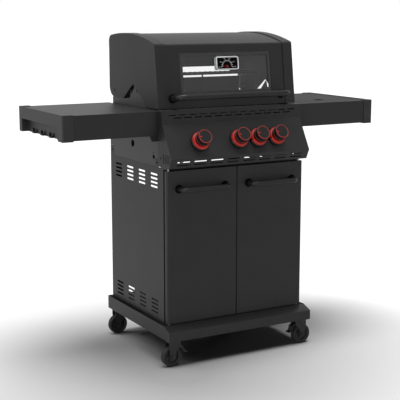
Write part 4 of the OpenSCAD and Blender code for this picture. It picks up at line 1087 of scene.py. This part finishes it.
@dataclass
class Gauge:
    """The lid's thermometer: a satin case, a black dial with marks, and a needle."""

    width: float = 94.0
    height: float = 48.0
    up: float = 154.0
    back: float = -7.8
    front: float = 9.0
    dial_out: float = 4.0
    frame_w: float = 3.8
    corner_r: float = 8.0
    scale_r: float = 24.0
    sweep: float = 190.0
    marks: int = 11
    pivot_up: float = 143.0
    links: int = 40
    zone_from: float = 215.0
    zone_sweep: float = 110.0
    number_mm: float = 4.6

    def plate(self, name: str, size: tuple[float, float], corner: float, low: float,
              high: float) -> bpy.types.Object:
        """Builds a plate with round corners, as a closed mesh.

        Args:
            name: the name of the plate.
            size: its width and height in millimetres.
            corner: the radius of its corners in millimetres.
            low: where its back is, in millimetres.
            high: where its front is, in millimetres.

        Returns:
            The plate, lying at the origin.
        """
        piece = box_piece(name, (-size[0] / 2, -size[1] / 2, low),
                          (size[0] / 2, size[1] / 2, high))
        if pick_edges(piece, lambda a, b, _: abs(a.z - b.z) > abs(high - low) * 0.9 * MM):
            bpy.ops.mesh.bevel(offset=corner * MM, segments=6, affect="EDGES")
        bpy.ops.object.mode_set(mode="OBJECT")
        return piece

    def case(self) -> None:
        """Builds the case: a plate with a rounded front edge and a recess for the dial."""
        piece = self.plate("thermometer_case", (self.width, self.height), self.corner_r,
                           self.back, self.front)
        if pick(piece, lambda face: face.normal.z > 0.9):
            bpy.ops.mesh.inset(thickness=self.frame_w * MM)
            bpy.ops.mesh.extrude_region_move(TRANSFORM_OT_translate={
                "value": (0, 0, (self.dial_out - self.front) * MM)})
        bpy.ops.object.mode_set(mode="OBJECT")
        top = self.front * MM
        if pick_edges(piece, lambda a, b, angle: angle > SQUARE
                      and min(a.z, b.z) > top - 0.001 * MM):
            bpy.ops.mesh.bevel(offset=1.2 * MM, segments=3, affect="EDGES")
        bpy.ops.object.mode_set(mode="OBJECT")
        case = copied(piece, "thermometer_case_set", LID_FRONT.place(0, self.up, 0))
        bpy.data.objects.remove(piece, do_unlink=True)
        probe = turned("thermometer_probe", [
            (4, -2), (4, -58), (3.4, -59.6), (2, -60), (0, -60)][::-1], 32)
        stem = copied(probe, "thermometer_probe_set",
                      LID_FRONT.place(0, self.up, self.back + 2))
        bpy.data.objects.remove(probe, do_unlink=True)
        for part in (case, stem):
            dress(part, SATIN_METAL, "lid")
            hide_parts("thermometer")
            report(part)

    def dial(self) -> None:
        """Builds the dial's card, its white arc, marks and numbers and its red zone."""
        inner = (self.width - 2 * self.frame_w - 0.6, self.height - 2 * self.frame_w - 0.6)
        card = self.plate("card", inner, 3.0, self.dial_out + 0.02, self.dial_out + 0.3)
        piece = copied(card, "thermometer_dial", LID_FRONT.place(0, self.up, 0))
        bpy.data.objects.remove(card, do_unlink=True)
        dress(piece, DIAL_BLACK, "lid")
        report(piece)
        self.scale()
        self.zone()

    def at_angle(self, angle: float) -> Matrix:
        """Returns a place on the dial whose +X points outwards at an angle in degrees."""
        return (LID_FRONT.place(0, self.pivot_up, self.dial_out + 0.32)
                @ Matrix.Rotation(math.radians(angle), 4, "Z"))

    def angle(self, step: int) -> float:
        """Returns the angle of one of the scale's marks."""
        return 90 + self.sweep / 2 - self.sweep * step / (self.marks - 1)

    def scale(self) -> None:
        """Builds the arc, the long and short marks and the numbers in white ink."""
        pieces = []
        for step in range(self.marks):
            size = 7.5 if step % 2 == 0 else 4.6
            mark = box_piece("mark", (self.scale_r - 4.6, -0.8, 0),
                             (self.scale_r - 4.6 + size, 0.55, 0.12))
            pieces.append(copied(mark, f"mark_{step}", self.at_angle(self.angle(step))))
            bpy.data.objects.remove(mark, do_unlink=True)
        for step in range(self.links):
            angle = self.angle(0) - self.sweep * (step + 0.5) / self.links
            link = box_piece("link", (self.scale_r - 5.4, -0.95, 0),
                             (self.scale_r - 4.5, 0.95, 0.12))
            pieces.append(copied(link, f"link_{step}", self.at_angle(angle)))
            bpy.data.objects.remove(link, do_unlink=True)
        pieces.extend(self.numbers())
        piece = joined("thermometer_scale", pieces)
        dress(piece, WHITE_INK, "lid")
        report(piece)

    def numbers(self) -> list[bpy.types.Object]:
        """Sets the dial's numbers as thin printed meshes.

        Returns:
            The numbers, at their places on the dial.
        """
        made = []
        for step, number in ((0, "50"), (2, "100"), (4, "150"), (6, "200"), (8, "250"),
                             (10, "300")):
            angle = math.radians(self.angle(step))
            reach = self.scale_r + 6.6
            across, rise = reach * math.cos(angle) * 1.1, reach * math.sin(angle) * 0.93
            bpy.ops.object.select_all(action="DESELECT")
            bpy.ops.object.text_add()
            label = bpy.context.active_object
            label.data.body = number
            label.data.size = self.number_mm * MM
            label.data.align_x = "CENTER"
            label.data.align_y = "CENTER"
            label.data.extrude = 0.06 * MM
            bpy.ops.object.convert(target="MESH")
            place = LID_FRONT.place(across, self.pivot_up + rise, self.dial_out + 0.38)
            made.append(copied(label, f"number_{number}", place))
            bpy.data.objects.remove(label, do_unlink=True)
        return made

    def zone(self) -> None:
        """Builds the short red zone low in the middle of the dial."""
        pieces = []
        for step in range(8):
            link = box_piece("zone", (9.5, -1.1, 0), (11.6, 1.1, 0.14))
            angle = self.zone_from + self.zone_sweep * step / 7
            pieces.append(copied(link, f"zone_{step}", self.at_angle(angle)))
            bpy.data.objects.remove(link, do_unlink=True)
        piece = joined("thermometer_zone", pieces)
        dress(piece, RED_INK, "lid")
        report(piece)

    def needle(self) -> None:
        """Builds the needle: a hub with a tapered pointer that rests to the left."""
        hub = turned("needle_hub", [(4, 0), (4, 0.9), (3.4, 1.4), (0, 1.5)], 32)
        pointer = box_piece("pointer", (-20, -0.8, 0.2), (-2, 0.8, 0.8))
        if pick(pointer, lambda face: face.normal.x < -0.9):
            bpy.ops.transform.resize(value=(1, 0.3, 1), center_override=(-20 * MM, 0, 0))
        bpy.ops.object.mode_set(mode="OBJECT")
        place = LID_FRONT.place(0, self.pivot_up, self.dial_out + 1.1)
        pieces = [copied(hub, "needle_hub_set", place), copied(pointer, "pointer_set", place)]
        for model in (hub, pointer):
            bpy.data.objects.remove(model, do_unlink=True)
        piece = joined("thermometer_needle_tapered", pieces)
        dress(piece, RED_INK, "needle")
        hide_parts("thermometer_needle")
        report(piece)

    def build(self) -> None:
        """Builds the case, the dial and the needle."""
        self.case()
        self.dial()
        self.needle()


@dataclass
class Lid:
    """The domed lid: a sheet skin between cast ends, a window, a handle and a gauge."""

    cast_edge_mm: float = 1.5
    handle_span: float = 454.0
    handle_up: float = 35.0
    handle_r: float = 11.0
    rosette_r: float = 16.0
    rosette_h: float = 3.6
    seat: float = -2.7
    frame_edge_mm: float = 0.5

    def build(self) -> None:
        """Builds the lid's pieces."""
        soften(POWDER_COAT, 0.0, "lid_shell", sharp=60.0)
        soften(CAST_PAINT, self.cast_edge_mm, "lid_ends", steps=3, sharp=50.0)
        soften(ENAMEL, self.frame_edge_mm, "glass_frame")
        finish_nodes(GLASS, "lid_glass")
        half = self.handle_span / 2
        BowHandle("lid_handle", self.rosette_r, self.rosette_h, LID_FRONT, (-half, half),
                  self.handle_up, self.seat).build(self.handle_r)
        Gauge().build()


# ---------------------------------------------------------------- studio

@dataclass
class Lamp:
    """A soft sun lamp: where it shines from, its strength and how wide it looks."""

    name: str
    azimuth: float
    height: float
    strength: float
    spread: float

    def build(self) -> None:
        """Adds the lamp; azimuth 0 is in front of the doors and 90 is on the right."""
        light = bpy.data.lights.new(self.name, "SUN")
        light.energy = self.strength
        light.angle = math.radians(self.spread)
        lamp = bpy.data.objects.new(self.name, light)
        turn, rise = math.radians(self.azimuth), math.radians(self.height)
        shine = Vector((math.sin(turn) * math.cos(rise), -math.cos(turn) * math.cos(rise),
                        math.sin(rise)))
        lamp.rotation_euler = shine.to_track_quat("Z", "Y").to_euler()
        bpy.context.scene.collection.objects.link(lamp)


@dataclass
class Studio:
    """A pale floor with a painted shadow, a white surround, soft lamps and the camera."""

    surround: float = 0.02
    mirrored: float = 0.82
    floor_tone: float = 0.8
    # The floor as the camera sees it has a painted shadow: darker towards a point under the grill's front left,
    # out to a reach in metres.
    painted_shadow_tone: float = 0.36
    painted_shadow_centre: tuple[float, float, float] = (-0.3, -0.3, 0.0)
    painted_shadow_reach: float = 1.25
    lamps: list[Lamp] = field(default_factory=lambda: [
        Lamp("overhead", 0.0, 86.0, 2.6, 34.0),
        Lamp("left", -118.0, 56.0, 1.2, 50.0),
        Lamp("front", -58.0, 1.5, 0.8, 3.0)])
    lens: float = 94.03
    camera_at: tuple[float, float, float] = (-1.94693, -3.39624, 1.25931)
    camera_turn: tuple[float, float, float] = (79.68, 0.0, -29.34)

    def world(self) -> None:
        """Surrounds the grill with white, which lights it more softly than it shows."""
        world = bpy.data.worlds.new("surround")
        bpy.context.scene.world = world
        world.use_nodes = True
        tree = world.node_tree
        tree.nodes.clear()
        path = add_node(tree, "ShaderNodeLightPath")
        seen = add_node(tree, "ShaderNodeMath", {"operation": "MAXIMUM"})
        tree.links.new(path.outputs["Is Camera Ray"], seen.inputs[0])
        tree.links.new(path.outputs["Is Transmission Ray"], seen.inputs[1])
        mirrored = add_node(tree, "ShaderNodeMapRange",
                            {"To Min": self.surround, "To Max": self.mirrored},
                            {"Value": path.outputs["Is Glossy Ray"]})
        strength = add_node(tree, "ShaderNodeMath", {"operation": "MAXIMUM"})
        tree.links.new(seen.outputs[0], strength.inputs[0])
        tree.links.new(mirrored.outputs["Result"], strength.inputs[1])
        back = add_node(tree, "ShaderNodeBackground", {"Color": (1, 1, 1, 1)},
                        {"Strength": strength.outputs[0]})
        add_node(tree, "ShaderNodeOutputWorld", {}, {"Surface": back.outputs["Background"]})

    def floor(self) -> None:
        """Lays the floor, which keeps the grill's shadow and carries a painted one near the grill."""
        bpy.ops.object.select_all(action="DESELECT")
        bpy.ops.mesh.primitive_plane_add(size=60, location=(0, 0, 0))
        floor = bpy.context.active_object
        floor.name = "floor"
        material = bpy.data.materials.new("pale_floor")
        material.use_nodes = True
        tree = material.node_tree
        tree.nodes.clear()
        place = add_node(tree, "ShaderNodeTexCoord")
        # Painted shadow: as the camera sees it, the floor darkens towards the grill.
        away = add_node(tree, "ShaderNodeVectorMath", {"operation": "DISTANCE"})
        away.inputs[1].default_value = self.painted_shadow_centre
        tree.links.new(place.outputs["Object"], away.inputs[0])
        shown = add_node(tree, "ShaderNodeMapRange",
                         {"From Min": 0.1, "From Max": self.painted_shadow_reach,
                          "To Min": self.painted_shadow_tone, "To Max": 1.0},
                         {"Value": away.outputs["Value"]})
        path = add_node(tree, "ShaderNodeLightPath")
        tone = add_node(tree, "ShaderNodeMapRange", {"To Min": self.floor_tone},
                        {"Value": path.outputs["Is Camera Ray"],
                         "To Max": shown.outputs["Result"]})
        matt = add_node(tree, "ShaderNodeBsdfDiffuse", {}, {"Color": tone.outputs["Result"]})
        add_node(tree, "ShaderNodeOutputMaterial", {}, {"Surface": matt.outputs["BSDF"]})
        floor.data.materials.append(material)

    def camera(self) -> None:
        """Sets the camera at its height, with its lens."""
        lens = bpy.data.cameras.new("camera")
        lens.lens = self.lens
        lens.sensor_width = 36
        eye = bpy.data.objects.new("camera", lens)
        eye.location = self.camera_at
        eye.rotation_euler = [math.radians(turn) for turn in self.camera_turn]
        bpy.context.scene.collection.objects.link(eye)
        bpy.context.scene.camera = eye

    def build(self) -> None:
        """Builds the studio."""
        bpy.context.scene.view_settings.view_transform = "Standard"
        self.world()
        self.floor()
        self.camera()
        for lamp in self.lamps:
            lamp.build()


def main() -> None:
    """Builds the grill from the floor up, then the studio around it."""
    logging.basicConfig(level=logging.INFO, format="%(name)s: %(message)s")
    for part in (BaseTray(), Casters(), Cabinet(), Firebox(), ControlPanel(), Shelves(),
                 Lid(), Studio()):
        LOG.info("building %s", type(part).__name__)
        part.build()


if __name__ == "__main__":
    main()
